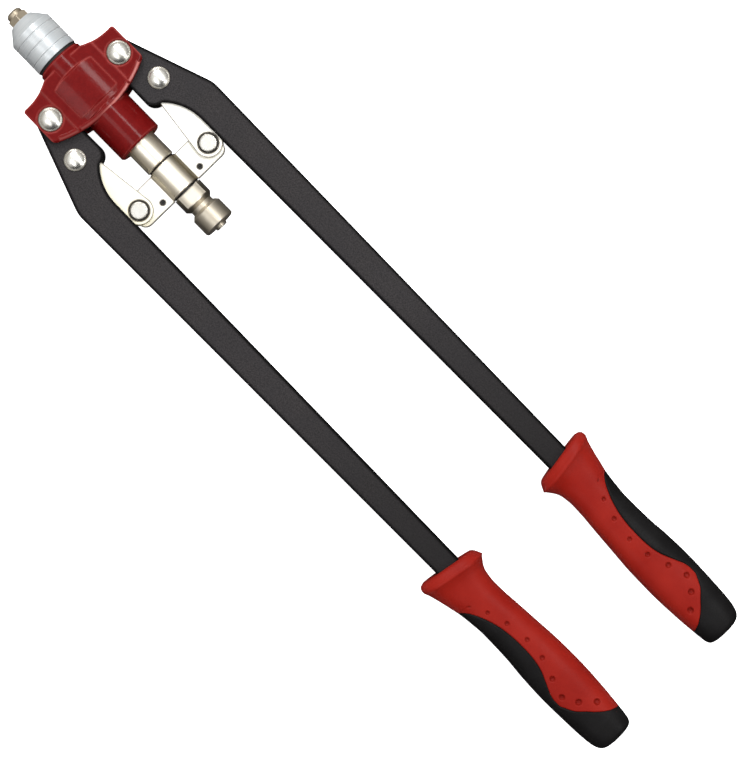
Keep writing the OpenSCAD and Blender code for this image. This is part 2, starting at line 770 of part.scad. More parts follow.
module end_cap() {
    neck_r = cap_neck_d / 2;
    knob_r = cap_knob_d / 2;
    shank_r = shank_d / 2 + fixed_gap;
    stem_r = stem_tube_d / 2 + running_gap;
    color("darkgray") turned([
        [shank_r, cap_s], [neck_r, cap_s], [neck_r, knob_s], [knob_r - cap_front_bevel, knob_s],
        [knob_r, knob_s + cap_front_bevel], [knob_r, cap_end_s - cap_rear_bevel],
        [knob_r - cap_rear_bevel, cap_end_s], [stem_r, cap_end_s], [stem_r, shank_end_s + 0.2],
        [shank_r, shank_end_s + 0.2]
    ]);
}

module stem_tube() {
    color("gray") tube(stem_tube_d / 2, stem_tube_d / 2 - stem_tube_wall, stem_tube_s, stem_tube_end_s);
}

// A link pin's head sits in the link's recess, a little below the arm's cheek
module link_pin_head() {
    seat_z = link_z + link_t - link_recess_depth;
    head_r = link_head_d / 2;
    top_z = link_z + link_t + link_head_h;
    rotate_extrude() polygon([[0, seat_z], [head_r, seat_z], [head_r, top_z - 0.3], [head_r - 0.3, top_z],
                              [0, top_z]]);
}

module link_pins() {
    seat_z = link_z + link_t - link_recess_depth;
    color("silver") both_sides() translate([-link_pin_s, link_pin_y, 0]) {
        link_pin_head();
        translate([0, 0, -seat_z]) cylinder(d = link_pin_d, h = 2 * seat_z);
    }
}

module link_pin_nuts() {
    color("gray") both_sides() translate([-link_pin_s, link_pin_y, 0]) mirror([0, 0, 1]) link_pin_head();
}

// Snap rings in the recesses round the heads, above and below
module link_pin_rings() {
    seat_z = link_z + link_t - link_recess_depth;
    color("black") both_sides() above_and_below() translate([-link_pin_s, link_pin_y, seat_z]) difference() {
        cylinder(r = link_recess_d / 2 - side_gap, h = link_recess_depth * link_ring_share);
        translate([0, 0, -1]) cylinder(r = link_head_d / 2 + fixed_gap, h = link_recess_depth + 2);
    }
}

// The left upper link, drawn from the crosshead's pin to the eye round the arm's pin
module link() {
    eye_edge = atan((link_r - eye_r) / link_len);
    color("whitesmoke") translate([-link_pin_s, link_pin_y, 0]) rotate(link_angle) difference() {
        slab(link_z, link_z + link_t) polygon(concat(
            arc([link_len, 0], eye_r, -60, 90 - eye_edge, 16),
            arc([0, 0], link_r, 90 - eye_edge, 270, 24),
            [[link_len - link_r, -link_r]]
        ));
        translate([link_len, 0, 0]) cylinder(r = arm_pin_d / 2 + eye_play, h = arm_z);
        cylinder(d = link_pin_d + 2 * running_gap, h = arm_z);
        translate([0, 0, link_z + link_t - link_recess_depth]) cylinder(d = link_recess_d, h = arm_z);
    }
}

module link_left_upper() { link(); }
module link_left_lower() { mirror([0, 0, 1]) link(); }
module link_right_upper() { other_side() link(); }
module link_right_lower() { other_side() mirror([0, 0, 1]) link(); }

// The arm's two long edges behind the shoulder, as offsets from the pivot
arm_mid_y = shoulder_out() - arm_w_root / 2;
function shoulder_out() = arm_boss_r / cos(arm_spread) + shoulder_len * tan(arm_spread);
function arm_mid(u) = arm_mid_y + arm_drift * (u - shoulder_len) / (arm_len - shoulder_len);
function arm_half(u) = (arm_w_root + (arm_w_end - arm_w_root) * (u - shoulder_len) / (arm_len - shoulder_len)) / 2;
function outer_edge(u) = arm_mid(u) + arm_half(u);
function inner_edge(u) = arm_mid(u) - arm_half(u);

// The shoulder's round corner, moved in by an inset
function shoulder_arc(inset) =
    let (
        back_angle = atan((outer_edge(arm_len) - outer_edge(shoulder_len)) / (arm_len - shoulder_len)),
        half_turn = (arm_spread - back_angle) / 2,
        mid_angle = 90 + (arm_spread + back_angle) / 2,
        corner = [shoulder_len, shoulder_out()],
        centre = corner - shoulder_r / cos(half_turn) * [cos(mid_angle), sin(mid_angle)]
    )
    arc(centre, shoulder_r - inset, 90 + arm_spread, 90 + back_angle, 10);

// The cheek's outline about the arm pivot
module cheek_plan() {
    hollow_u = lobe_len + hollow_len;
    hollow_start = asin(hollow_len / hollow_r);
    hollow_centre = [hollow_u, inner_edge(hollow_u) - hollow_r];
    polygon(concat(
        arc([0, 0], arm_boss_r, 270, 90 + arm_spread, 24),
        shoulder_arc(0),
        [[arm_len, outer_edge(arm_len)], [arm_len, inner_edge(arm_len)]],
        arc(hollow_centre, hollow_r, 90, 90 + hollow_start, 16),
        arc([lobe_len - lobe_r, lobe_r - lobe_drop], lobe_r, 0, -90, 8)
    ));
}

// The hollow inside the folded arm, open on its inner side
module channel_plan() {
    start_u = arm_boss_r;
    polygon(concat(
        [[-arm_boss_r - 1, -lobe_drop - 1], [-arm_boss_r - 1, arm_boss_r + 3],
         [start_u - 3, arm_boss_r + 3]],
        [[start_u - 3, (arm_boss_r - cheek_t) / cos(arm_spread) + (start_u - 3) * tan(arm_spread)]],
        shoulder_arc(cheek_t),
        [[arm_len + 1, outer_edge(arm_len) - cheek_t], [arm_len + 1, -lobe_drop - 1]]
    ));
}

module arm() {
    color("#3a3a3c") at_pivot() difference() {
        slab(-arm_z, arm_z) cheek_plan();
        slab(-cheek_z, cheek_z) channel_plan();
        translate([0, 0, -arm_z - 1]) cylinder(r = pivot_pin_d / 2 + running_gap, h = 2 * arm_z + 2);
        translate([crank_len, crank_y, -arm_z - 1]) cylinder(r = arm_pin_d / 2 + fixed_gap, h = 2 * arm_z + 2);
    }
}

module arm_left() { arm(); }
module arm_right() { other_side() arm(); }

// A spacer bush between the cheeks, round the arm pivot's pin
module arm_bush() {
    bore_r = pivot_pin_d / 2 + running_gap;
    color("goldenrod") translate([-pivot_s, pivot_y, 0]) difference() {
        translate([0, 0, -cheek_z]) cylinder(r = bore_r + arm_bush_wall, h = 2 * cheek_z);
        translate([0, 0, -cheek_z - 1]) cylinder(r = bore_r, h = 2 * cheek_z + 2);
    }
}

module arm_bush_left() { arm_bush(); }
module arm_bush_right() { other_side() arm_bush(); }

module arm_pin() {
    color("lightgray") translate([-crank_s, arm_pin_y, 0])
        headed_pin(arm_pin_d, arm_head_d, arm_head_h, arm_z);
}

module arm_pin_nut() {
    color("gray") translate([-crank_s, arm_pin_y, 0]) domed_nut(arm_head_d, arm_head_h, arm_z);
}

module arm_pin_left() { arm_pin(); }
module arm_pin_right() { other_side() arm_pin(); }
module arm_pin_nut_left() { arm_pin_nut(); }
module arm_pin_nut_right() { other_side() arm_pin_nut(); }

// Stations along a grip: [distance from its front, width, thickness]
grip_stations = [
    [0, flange_w * 0.70, flange_t * 0.80],
    [2.2, flange_w * 0.90, flange_t * 0.94],
    [6, flange_w, flange_t],
    [9, flange_w * 0.96, flange_t * 0.97],
    [14, (flange_w + 2 * waist_w) / 3, (flange_t + 2 * grip_t) / 3],
    [20, waist_w + 2.4, grip_t],
    [30, waist_w, grip_t],
    [grip_len * 0.32, waist_w + 0.3, grip_t],
    [grip_len * 0.42, waist_w + 1.4, grip_t],
    [grip_len * 0.52, (waist_w + 3 * palm_w) / 4, grip_t],
    [grip_len * 0.64, palm_w, grip_t],
    [grip_len * 0.78, (3 * palm_w + tail_w) / 4, grip_t],
    [grip_len * 0.88, (palm_w + 2 * tail_w) / 3, grip_t * 0.97],
    [grip_len - 7, tail_w, grip_t * 0.94],
    [grip_len - 3, tail_w * 0.94, grip_t * 0.88],
    [grip_len - 0.9, tail_w * 0.84, grip_t * 0.78],
    [grip_len, tail_w * 0.70, grip_t * 0.64]
];

function rounded(value) = sign(value) * pow(abs(value), 0.85);

// The grip's flange leans, and the lean fades out behind it
function lean_at(u) = flange_slope * max(0, 1 - u / 45);
function flange_shift(u) = 1.6 * max(0, 1 - u / 30);

// The outer skin of a grip, as rings of points from front to end
module grip_body() {
    mid = arm_mid(grip_start + grip_len / 2);
    rings = len(grip_stations);
    points = [for (s = grip_stations, j = [0 : loft_fn - 1])
        let (
            a = 360 * j / loft_fn,
            y = s[1] / 2 * rounded(cos(a)),
            z = s[2] / 2 * rounded(sin(a))
        )
        [grip_start + s[0] - lean_at(s[0]) * y, mid + flange_shift(s[0]) + y, z]];
    walls = [for (i = [0 : rings - 2], j = [0 : loft_fn - 1])
        let (k = (j + 1) % loft_fn, p = i * loft_fn, q = p + loft_fn)
        each [[p + j, q + k, q + j], [p + j, p + k, q + k]]];
    ends = [[for (j = [loft_fn - 1 : -1 : 0]) j], [for (j = [0 : loft_fn - 1]) (rings - 1) * loft_fn + j]];
    polyhedron(points, concat(walls, ends));
}

// The space that the arm fills inside the grip
module grip_socket() {
    front = grip_start - 10;
    slab(-arm_z - fixed_gap, arm_z + fixed_gap) polygon([
        [front, outer_edge(front) + fixed_gap],
        [arm_len + stop_gap, outer_edge(arm_len) + fixed_gap],
        [arm_len + stop_gap, inner_edge(arm_len) - fixed_gap],
        [front, inner_edge(front) - fixed_gap]
    ]);
}

// The boundary of the outer cover: places along the grip and offsets from its middle
cover_line = [
    [19, 15.2], [22, 12.6], [26, 10.3], [32.5, 7], [39.5, 4.4], [46.5, 2.7], [56, 1.7], [63, 1.6], [71, 2.2],
    [77.5, 3.7], [87, 8], [91, 9.7], [96, 10.4], [101.5, 8.9], [106, 6.3], [111, 1.6], [115.5, -3], [119.5, -8.5],
    [124, -17], [126, -21]
];

module cover_region() {
    mid = arm_mid(grip_start + grip_len / 2);
    side = flange_w;
    slab(-flange_t, flange_t) polygon(concat(
        [[grip_start + cover_line[0][0] - 3, mid + side]],
        [for (p = cover_line) [grip_start + p[0], mid + p[1]]],
        [[grip_start + grip_len + 5, mid - side], [grip_start + grip_len + 5, mid + side]]
    ));
}

module grip_core() {
    color("#b02a24") at_pivot() difference() {
        grip_body();
        grip_socket();
        cover_region();
    }
}

module grip_cover() {
    color("#262628") at_pivot() difference() {
        intersection() {
            grip_body();
            cover_region();
        }
        grip_socket();
    }
}

module grip_core_left() { grip_core(); }
module grip_core_right() { other_side() grip_core(); }
module grip_cover_left() { grip_cover(); }
module grip_cover_right() { other_side() grip_cover(); }

nosepiece();
front_sleeve();
sleeve_seal();
housing();
tube_bush();
pivot_pins();
pivot_nuts();
jaw_case();
pull_tube();
crosshead();
plate_screws();
hub_washers();
lock_nut();
end_cap();
stem_tube();
link_pins();
link_pin_nuts();
link_pin_rings();
jaw_a();
jaw_b();
jaw_c();
jaw_pusher();
jaw_spring();
link_left_upper();
link_left_lower();
link_right_upper();
link_right_lower();
arm_left();
arm_bush_left();
arm_pin_left();
arm_pin_nut_left();
grip_core_left();
grip_cover_left();
arm_right();
arm_bush_right();
arm_pin_right();
arm_pin_nut_right();
grip_core_right();
grip_cover_right();
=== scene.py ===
import json
import math
import bmesh
import bpy
import numpy as np
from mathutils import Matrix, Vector


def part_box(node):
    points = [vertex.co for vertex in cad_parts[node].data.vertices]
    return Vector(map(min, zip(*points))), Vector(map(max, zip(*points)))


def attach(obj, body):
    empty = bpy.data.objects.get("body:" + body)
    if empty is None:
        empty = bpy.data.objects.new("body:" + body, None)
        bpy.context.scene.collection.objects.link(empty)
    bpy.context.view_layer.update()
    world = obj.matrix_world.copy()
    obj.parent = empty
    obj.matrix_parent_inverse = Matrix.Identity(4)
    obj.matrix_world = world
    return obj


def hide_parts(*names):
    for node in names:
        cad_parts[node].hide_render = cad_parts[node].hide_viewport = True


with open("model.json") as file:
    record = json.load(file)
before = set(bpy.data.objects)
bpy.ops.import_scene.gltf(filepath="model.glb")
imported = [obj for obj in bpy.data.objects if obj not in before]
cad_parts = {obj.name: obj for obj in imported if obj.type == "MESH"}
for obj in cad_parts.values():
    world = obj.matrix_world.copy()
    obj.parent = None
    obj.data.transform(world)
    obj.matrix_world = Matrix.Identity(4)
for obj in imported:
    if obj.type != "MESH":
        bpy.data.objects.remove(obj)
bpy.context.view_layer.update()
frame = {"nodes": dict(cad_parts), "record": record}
scene = bpy.context.scene
nodes = frame["nodes"]
mm = 0.001


# small helpers for node trees and objects

def addNode(tree, kind, links=None, **settings):
    node = tree.nodes.new(kind)
    for key, value in settings.items():
        setattr(node, key, value)
    for key, value in (links or {}).items():
        if isinstance(value, bpy.types.NodeSocket):
            tree.links.new(value, node.inputs[key])
        else:
            node.inputs[key].default_value = value
    return node


def maths(tree, operation, first, second=0.0, clamp=False):
    links = {0: first, 1: second}
    return addNode(tree, "ShaderNodeMath", links, operation=operation, use_clamp=clamp).outputs[0]


def plus(tree, first, second, clamp=False):
    return maths(tree, "ADD", first, second, clamp)


def minus(tree, first, second):
    return maths(tree, "SUBTRACT", first, second)


def times(tree, first, second, clamp=False):
    return maths(tree, "MULTIPLY", first, second, clamp)


def dotProduct(tree, first, second):
    links = {0: first, 1: second}
    node = addNode(tree, "ShaderNodeVectorMath", links, operation="DOT_PRODUCT")
    return node.outputs["Value"]


def mapRange(tree, value, fromMin, fromMax, toMin=0.0, toMax=1.0):
    links = {"Value": value, "From Min": fromMin, "From Max": fromMax,
             "To Min": toMin, "To Max": toMax}
    return addNode(tree, "ShaderNodeMapRange", links).outputs["Result"]


def rgba(colour):
    # a colour that comes from a node stays as it is
    return colour if isinstance(colour, bpy.types.NodeSocket) else (*colour, 1.0)


def mixColour(tree, factor, first, second):
    links = {0: factor, 6: rgba(first), 7: rgba(second)}
    return addNode(tree, "ShaderNodeMix", links, data_type="RGBA").outputs[2]


def objectPlace(tree):
    return addNode(tree, "ShaderNodeTexCoord").outputs["Object"]


def split(tree, vector):
    return addNode(tree, "ShaderNodeSeparateXYZ", {0: vector}).outputs


def noiseAt(tree, place, scale, detail):
    links = {"Vector": place, "Scale": scale, "Detail": detail}
    return addNode(tree, "ShaderNodeTexNoise", links).outputs["Fac"]


def meshMark(tree, name):
    return addNode(tree, "ShaderNodeAttribute", attribute_name=name).outputs["Fac"]


def newGroup(name, inputs, outputs):
    group = bpy.data.node_groups.new(name, "ShaderNodeTree")
    for label, default in inputs.items():
        socket = group.interface.new_socket(label, in_out="INPUT", socket_type="NodeSocketFloat")
        socket.default_value = default
    for label, kind in outputs.items():
        group.interface.new_socket(label, in_out="OUTPUT", socket_type=kind)
    return group, group.nodes.new("NodeGroupInput").outputs, group.nodes.new("NodeGroupOutput")


def useGroup(tree, group, values):
    node = tree.nodes.new("ShaderNodeGroup")
    node.node_tree = group
    for label, value in values.items():
        node.inputs[label].default_value = value
    return node.outputs


def addObject(name, data):
    thing = bpy.data.objects.new(name, data)
    scene.collection.objects.link(thing)
    return thing


# shared effects, each a node group that is built once

effectLooks = {
    "edgeSamples": 10, "breakupScale": 420.0, "breakupDetail": 4.0, "breakupRange": (0.35, 0.65),
    "driftScale": 90.0, "driftDetail": 2.0, "lineDetail": 3.0, "lineRoughness": 0.6,
    "lineRange": (0.3, 0.7),
    "patchDetail": 5.0, "patchRange": (0.42, 0.68), "speckScale": 650.0, "speckRange": (0.22, 0.08),
}


def makeSoftEdges():
    # rounds the normal near an edge by Radius, and marks a band that Reach makes wider
    look = effectLooks
    group, given, out = newGroup(
        "softEdges", {"Radius": 0.0004, "Reach": 0.0008, "Sharpness": 6.0, "Breakup": 0.5},
        {"Edge": "NodeSocketFloat", "Normal": "NodeSocketVector"})
    rounded, wide = (
        addNode(group, "ShaderNodeBevel", {"Radius": given[label]}, samples=look["edgeSamples"])
        for label in ("Radius", "Reach"))
    flat = addNode(group, "ShaderNodeNewGeometry").outputs["Normal"]
    turned = minus(group, 1.0, dotProduct(group, wide.outputs[0], flat))
    turned = times(group, turned, given["Sharpness"], clamp=True)
    patchy = noiseAt(group, objectPlace(group), look["breakupScale"], look["breakupDetail"])
    patchy = mapRange(group, patchy, *look["breakupRange"])
    kept = minus(group, 1.0, times(group, patchy, given["Breakup"]))
    group.links.new(times(group, turned, kept, clamp=True), out.inputs["Edge"])
    group.links.new(rounded.outputs[0], out.inputs["Normal"])
    return group


def makeFineGrain():
    group, given, out = newGroup(
        "fineGrain", {"Scale": 800.0, "Detail": 3.0, "Low": 0.3, "High": 0.7},
        {"Grain": "NodeSocketFloat"})
    noise = noiseAt(group, objectPlace(group), given["Scale"], given["Detail"])
    shaped = mapRange(group, noise, given["Low"], given["High"])
    group.links.new(shaped, out.inputs["Grain"])
    return group


def makeTurnedLines():
    # rings round the tool's axis, as a lathe leaves them; Wander is in mm
    look = effectLooks
    group, given, out = newGroup(
        "turnedLines", {"Density": 3000.0, "Wander": 0.2}, {"Lines": "NodeSocketFloat"})
    place = objectPlace(group)
    drift = noiseAt(group, place, look["driftScale"], look["driftDetail"])
    drift = times(group, drift, times(group, given["Wander"], mm))
    where = times(group, plus(group, split(group, place)["X"], drift), given["Density"])
    lines = addNode(group, "ShaderNodeTexNoise", {
        "W": where, "Scale": 1.0, "Detail": look["lineDetail"],
        "Roughness": look["lineRoughness"]}, noise_dimensions="1D").outputs["Fac"]
    group.links.new(mapRange(group, lines, *look["lineRange"]), out.inputs["Lines"])
    return group


def makeHandlingMarks():
    # dull patches where the tool is touched, with a few finer specks
    look = effectLooks
    group, given, out = newGroup(
        "handlingMarks", {"Size": 45.0, "Amount": 0.5, "Specks": 0.3},
        {"Dull": "NodeSocketFloat"})
    place = objectPlace(group)
    patches = noiseAt(group, place, given["Size"], look["patchDetail"])
    patches = times(group, mapRange(group, patches, *look["patchRange"]), given["Amount"])
    specks = addNode(group, "ShaderNodeTexVoronoi", {"Vector": place, "Scale": look["speckScale"]})
    specks = mapRange(group, specks.outputs["Distance"], *look["speckRange"])
    specks = times(group, specks, given["Specks"])
    group.links.new(plus(group, patches, specks, clamp=True), out.inputs["Dull"])
    return group


softEdges = makeSoftEdges()
fineGrain = makeFineGrain()
turnedLines = makeTurnedLines()
handlingMarks = makeHandlingMarks()
print("shared effects ready")


def startMaterial(name, metallic, roughness, coat=0.0, coatRoughness=0.06, specular=0.5):
    # metallic and roughness are plain values, which nodes can take over later
    material = bpy.data.materials.new(name)
    material.use_nodes = True
    tree = material.node_tree
    shader = tree.nodes["Principled BSDF"]
    shader.inputs["Metallic"].default_value = metallic
    shader.inputs["Roughness"].default_value = roughness
    shader.inputs["Coat Weight"].default_value = coat
    shader.inputs["Coat Roughness"].default_value = coatRoughness
    shader.inputs["Specular IOR Level"].default_value = specular
    return material, tree, shader


def dress(tree, shader, colour, roughness, height, depth, normal):
    tree.links.new(colour, shader.inputs["Base Color"])
    tree.links.new(roughness, shader.inputs["Roughness"])
    bump = addNode(tree, "ShaderNodeBump", {
        "Height": height, "Distance": depth, "Strength": 1.0, "Normal": normal})
    tree.links.new(bump.outputs["Normal"], shader.inputs["Normal"])


# metals: one recipe for all, with its own values for each; lengths are in metres here and below

metalLooks = {
    "tanSteel": {
        "colour": (0.43, 0.37, 0.28), "worn": (0.66, 0.59, 0.48), "tint": (0.33, 0.27, 0.19),
        "metallic": 0.75, "roughness": (0.34, 0.50), "density": 2600.0, "lineDepth": 0.000012,
        "lineShade": 0.2, "edgeRadius": 0.0005, "edge": 7.0},
    "brightZinc": {
        "colour": (0.60, 0.62, 0.625), "worn": (0.90, 0.91, 0.91), "tint": (0.42, 0.46, 0.49),
        "metallic": 0.30, "roughness": (0.28, 0.46), "density": 1500.0, "lineDepth": 0.00005,
        "lineShade": 0.6, "edgeRadius": 0.0004, "edge": 5.0},
    "satinNickel": {
        "colour": (0.88, 0.82, 0.70), "worn": (0.96, 0.94, 0.88), "tint": (0.72, 0.65, 0.53),
        "metallic": 0.95, "roughness": (0.30, 0.42), "density": 2600.0, "lineDepth": 0.000012,
        "lineShade": 0.4, "edgeRadius": 0.0004, "edge": 6.0, "shadedFlats": True},
    "greySteel": {
        "colour": (0.49, 0.445, 0.365), "worn": (0.82, 0.78, 0.68), "tint": (0.48, 0.43, 0.35),
        "metallic": 0.90, "roughness": (0.36, 0.50), "density": 2000.0, "lineDepth": 0.000018,
        "lineShade": 0.4, "edgeRadius": 0.0005, "edge": 6.0},
    "blackenedSteel": {
        "colour": (0.030, 0.028, 0.026), "worn": (0.22, 0.20, 0.17), "tint": (0.018, 0.017, 0.016),
        "metallic": 0.80, "roughness": (0.36, 0.50), "density": 2800.0, "lineDepth": 0.000010,
        "lineShade": 0.2, "edgeRadius": 0.0002, "edge": 3.0},
    "toolSteel": {
        "colour": (0.42, 0.42, 0.43), "worn": (0.75, 0.75, 0.75), "tint": (0.30, 0.31, 0.34),
        "metallic": 1.0, "roughness": (0.24, 0.38), "density": 3200.0, "lineDepth": 0.000008,
        "lineShade": 0.2, "edgeRadius": 0.0002, "edge": 6.0},
    "springWire": {
        "colour": (0.48, 0.48, 0.50), "worn": (0.70, 0.70, 0.72), "tint": (0.36, 0.37, 0.40),
        "metallic": 1.0, "roughness": (0.22, 0.34), "density": 900.0, "lineDepth": 0.000004,
        "lineShade": 0.1, "edgeRadius": 0.0001, "edge": 2.0},
}
metalWear = {
    "marks": {"Size": 60.0, "Amount": 0.7, "Specks": 0.35}, "dullShade": 0.7,
    "dullRough": 0.65, "lineRough": 0.35, "edgeBreakup": 0.35, "edgeShare": 0.8,
}
flatShadeLook = {"colour": (0.26, 0.235, 0.19), "from": 0.0028, "to": 0.0056, "share": 0.85}


def paintFlatShade(tree, colour):
    # painted shade: the lock nut's flats are darkened brown towards their sides
    low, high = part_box("lock_nut")
    place = split(tree, objectPlace(tree))
    across = maths(tree, "ABSOLUTE", place["Y"])
    flatShade = mapRange(tree, across, flatShadeLook["from"], flatShadeLook["to"], 0.0, flatShadeLook["share"])
    onNut = maths(tree, "LESS_THAN", place["X"], high.x)
    onNut = times(tree, onNut, maths(tree, "GREATER_THAN", place["X"], low.x))
    return mixColour(tree, times(tree, flatShade, onNut), colour, flatShadeLook["colour"])


def makeMetal(name, look):
    wear = metalWear
    material, tree, shader = startMaterial(name, look["metallic"], look["roughness"][0])
    edges = useGroup(tree, softEdges, {
        "Radius": look["edgeRadius"], "Reach": look["edgeRadius"], "Sharpness": look["edge"],
        "Breakup": wear["edgeBreakup"]})
    lines = useGroup(tree, turnedLines, {"Density": look["density"]})["Lines"]
    dull = useGroup(tree, handlingMarks, wear["marks"])["Dull"]
    shade = plus(tree, times(tree, dull, wear["dullShade"]),
                 times(tree, lines, look["lineShade"]), clamp=True)
    colour = mixColour(tree, shade, look["colour"], look["tint"])
    bare = times(tree, edges["Edge"], wear["edgeShare"])
    colour = mixColour(tree, bare, colour, look["worn"])
    # painted shade on the lock nut's flats
    if "shadedFlats" in look:
        colour = paintFlatShade(tree, colour)
    rough = plus(tree, times(tree, lines, wear["lineRough"]), times(tree, dull, wear["dullRough"]))
    rough = mapRange(tree, rough, 0.0, 1.0, *look["roughness"])
    dress(tree, shader, colour, rough, lines, look["lineDepth"], edges["Normal"])
    return material


plateLook = {
    "sheet": (0.93, 0.91, 0.84), "stain": (0.84, 0.81, 0.71), "streak": (0.98, 0.98, 0.95),
    # painted shade: a dark line along the plate edges
    "paintedEdgeShade": (0.10, 0.08, 0.055),
    "plainRoughness": 0.36, "roughness": (0.32, 0.46), "sheetMetallic": 0.7, "hubMetallic": 0.95,
    "edges": {"Radius": 0.0003, "Reach": 0.0013, "Sharpness": 14.0, "Breakup": 0.0},
    "marks": {"Size": 70.0, "Amount": 0.8, "Specks": 0.4}, "dullRough": 0.6,
    # rolling grain, stretched along the links
    "stretch": (0.06, 1.0, 1.0), "grainScale": 900.0, "grainDetail": 3.0,
    "grainShade": 0.25, "grainRough": 0.4,
    # the +Y side is creamier
    "aged": (0.86, 0.80, 0.58), "agedFrom": 0.014, "agedTo": 0.030, "agedShare": 0.7,
    # the turned hub, and painted shade darkening its sides towards its two seams with the plate
    "hub": (0.88, 0.82, 0.70), "hubLine": (0.70, 0.63, 0.51), "hubRadius": 0.0098,
    "hubBlend": 0.0002, "lineDensity": 2600.0, "lineShade": 0.5, "lineDepth": 0.000012,
    "hubSideShade": (0.16, 0.13, 0.08), "hubShadeFrom": 0.0056, "hubShadeTo": 0.0086, "hubShadeLean": 0.12,
}


def makePlateNickel():
    look = plateLook
    material, tree, shader = startMaterial(
        "brightPlate", look["sheetMetallic"], look["plainRoughness"])
    place = objectPlace(tree)
    parts = split(tree, place)
    acrossSquared = times(tree, parts["Y"], parts["Y"])
    fromAxis = plus(tree, acrossSquared, times(tree, parts["Z"], parts["Z"]))
    fromAxis = maths(tree, "SQRT", fromAxis)
    hub = mapRange(tree, fromAxis, look["hubRadius"] + look["hubBlend"], look["hubRadius"])
    stretched = addNode(tree, "ShaderNodeMapping", {"Vector": place, "Scale": look["stretch"]})
    grain = noiseAt(tree, stretched.outputs[0], look["grainScale"], look["grainDetail"])
    lines = useGroup(tree, turnedLines, {"Density": look["lineDensity"]})["Lines"]
    edges = useGroup(tree, softEdges, look["edges"])
    dull = useGroup(tree, handlingMarks, look["marks"])["Dull"]
    colour = mixColour(tree, dull, look["sheet"], look["stain"])
    colour = mixColour(tree, times(tree, grain, look["grainShade"]), colour, look["streak"])
    aged = mapRange(tree, parts["Y"], look["agedFrom"], look["agedTo"], 0.0, look["agedShare"])
    colour = mixColour(tree, aged, colour, look["aged"])
    # painted shade along the plate edges
    colour = mixColour(tree, edges["Edge"], colour, look["paintedEdgeShade"])
    turned = mixColour(tree, times(tree, lines, look["lineShade"]), look["hub"], look["hubLine"])
    # painted shade on the hub's sides, darker towards the plate
    offAxis = minus(tree, maths(tree, "SQRT", acrossSquared),
                    times(tree, parts["Y"], look["hubShadeLean"]))
    hubSideShade = mapRange(tree, offAxis, look["hubShadeFrom"], look["hubShadeTo"])
    colour = mixColour(tree, hub, colour, mixColour(tree, hubSideShade, turned, look["hubSideShade"]))
    metallic = mapRange(tree, hub, 0.0, 1.0, look["sheetMetallic"], look["hubMetallic"])
    tree.links.new(metallic, shader.inputs["Metallic"])
    rough = plus(tree, times(tree, grain, look["grainRough"]), times(tree, dull, look["dullRough"]))
    rough = mapRange(tree, rough, 0.0, 1.0, *look["roughness"])
    height = times(tree, lines, hub)
    dress(tree, shader, colour, rough, height, look["lineDepth"], edges["Normal"])
    return material


pinLook = {
    # the rim colour is painted shade round each head
    "bright": (0.90, 0.89, 0.84), "dull": (0.66, 0.63, 0.56), "rim": (0.20, 0.18, 0.145),
    "metallic": 0.95, "plainRoughness": 0.2, "roughness": (0.24, 0.34), "rimRoughness": 0.12,
    "edges": {"Radius": 0.0010, "Reach": 0.0020, "Sharpness": 8.0, "Breakup": 0.1},
    "marks": {"Size": 170.0, "Amount": 0.8, "Specks": 0.3},
    "dents": {"Scale": 260.0, "Detail": 2.0, "Low": 0.3, "High": 0.7}, "dentDepth": 0.000012,
}


def makePinSteel():
    # riveted heads: bright, lightly dented by the rivet set, with painted shade darkening the rim
    look = pinLook
    material, tree, shader = startMaterial(
        "brightPin", look["metallic"], look["plainRoughness"])
    edges = useGroup(tree, softEdges, look["edges"])
    dents = useGroup(tree, fineGrain, look["dents"])["Grain"]
    dull = useGroup(tree, handlingMarks, look["marks"])["Dull"]
    colour = mixColour(tree, dull, look["bright"], look["dull"])
    # painted shade: a dark rim round each head
    colour = mixColour(tree, edges["Edge"], colour, look["rim"])
    rough = mapRange(tree, dull, 0.0, 1.0, *look["roughness"])
    rough = plus(tree, rough, times(tree, edges["Edge"], look["rimRoughness"]))
    dress(tree, shader, colour, rough, dents, look["dentDepth"], edges["Normal"])
    return material


porousLooks = {
    "bronzeBush": {
        "pore": (0.42, 0.29, 0.13), "face": (0.66, 0.49, 0.24), "roughness": (0.45, 0.28),
        "metallic": 1.0, "plainRoughness": 0.3, "specular": 0.5,
        "edges": {"Radius": 0.0003, "Sharpness": 5.0, "Breakup": 0.3},
        "grain": {"Scale": 1500.0, "Detail": 2.0, "Low": 0.35, "High": 0.65},
        "grainDepth": 0.00001},
    "sealRubber": {
        "pore": (0.008, 0.008, 0.008), "face": (0.018, 0.018, 0.018), "roughness": (0.5, 0.7),
        "metallic": 0.0, "plainRoughness": 0.6, "specular": 0.3,
        "edges": {"Radius": 0.0003, "Sharpness": 3.0, "Breakup": 0.2},
        "grain": {"Scale": 1800.0, "Detail": 2.0, "Low": 0.3, "High": 0.7},
        "grainDepth": 0.00002},
}


def makePorous(name):
    # fine pores in an even face
    look = porousLooks[name]
    material, tree, shader = startMaterial(
        name, look["metallic"], look["plainRoughness"], specular=look["specular"])
    edges = useGroup(tree, softEdges, look["edges"])
    pores = useGroup(tree, fineGrain, look["grain"])["Grain"]
    colour = mixColour(tree, pores, look["pore"], look["face"])
    rough = mapRange(tree, pores, 0.0, 1.0, *look["roughness"])
    dress(tree, shader, colour, rough, pores, look["grainDepth"], edges["Normal"])
    return material


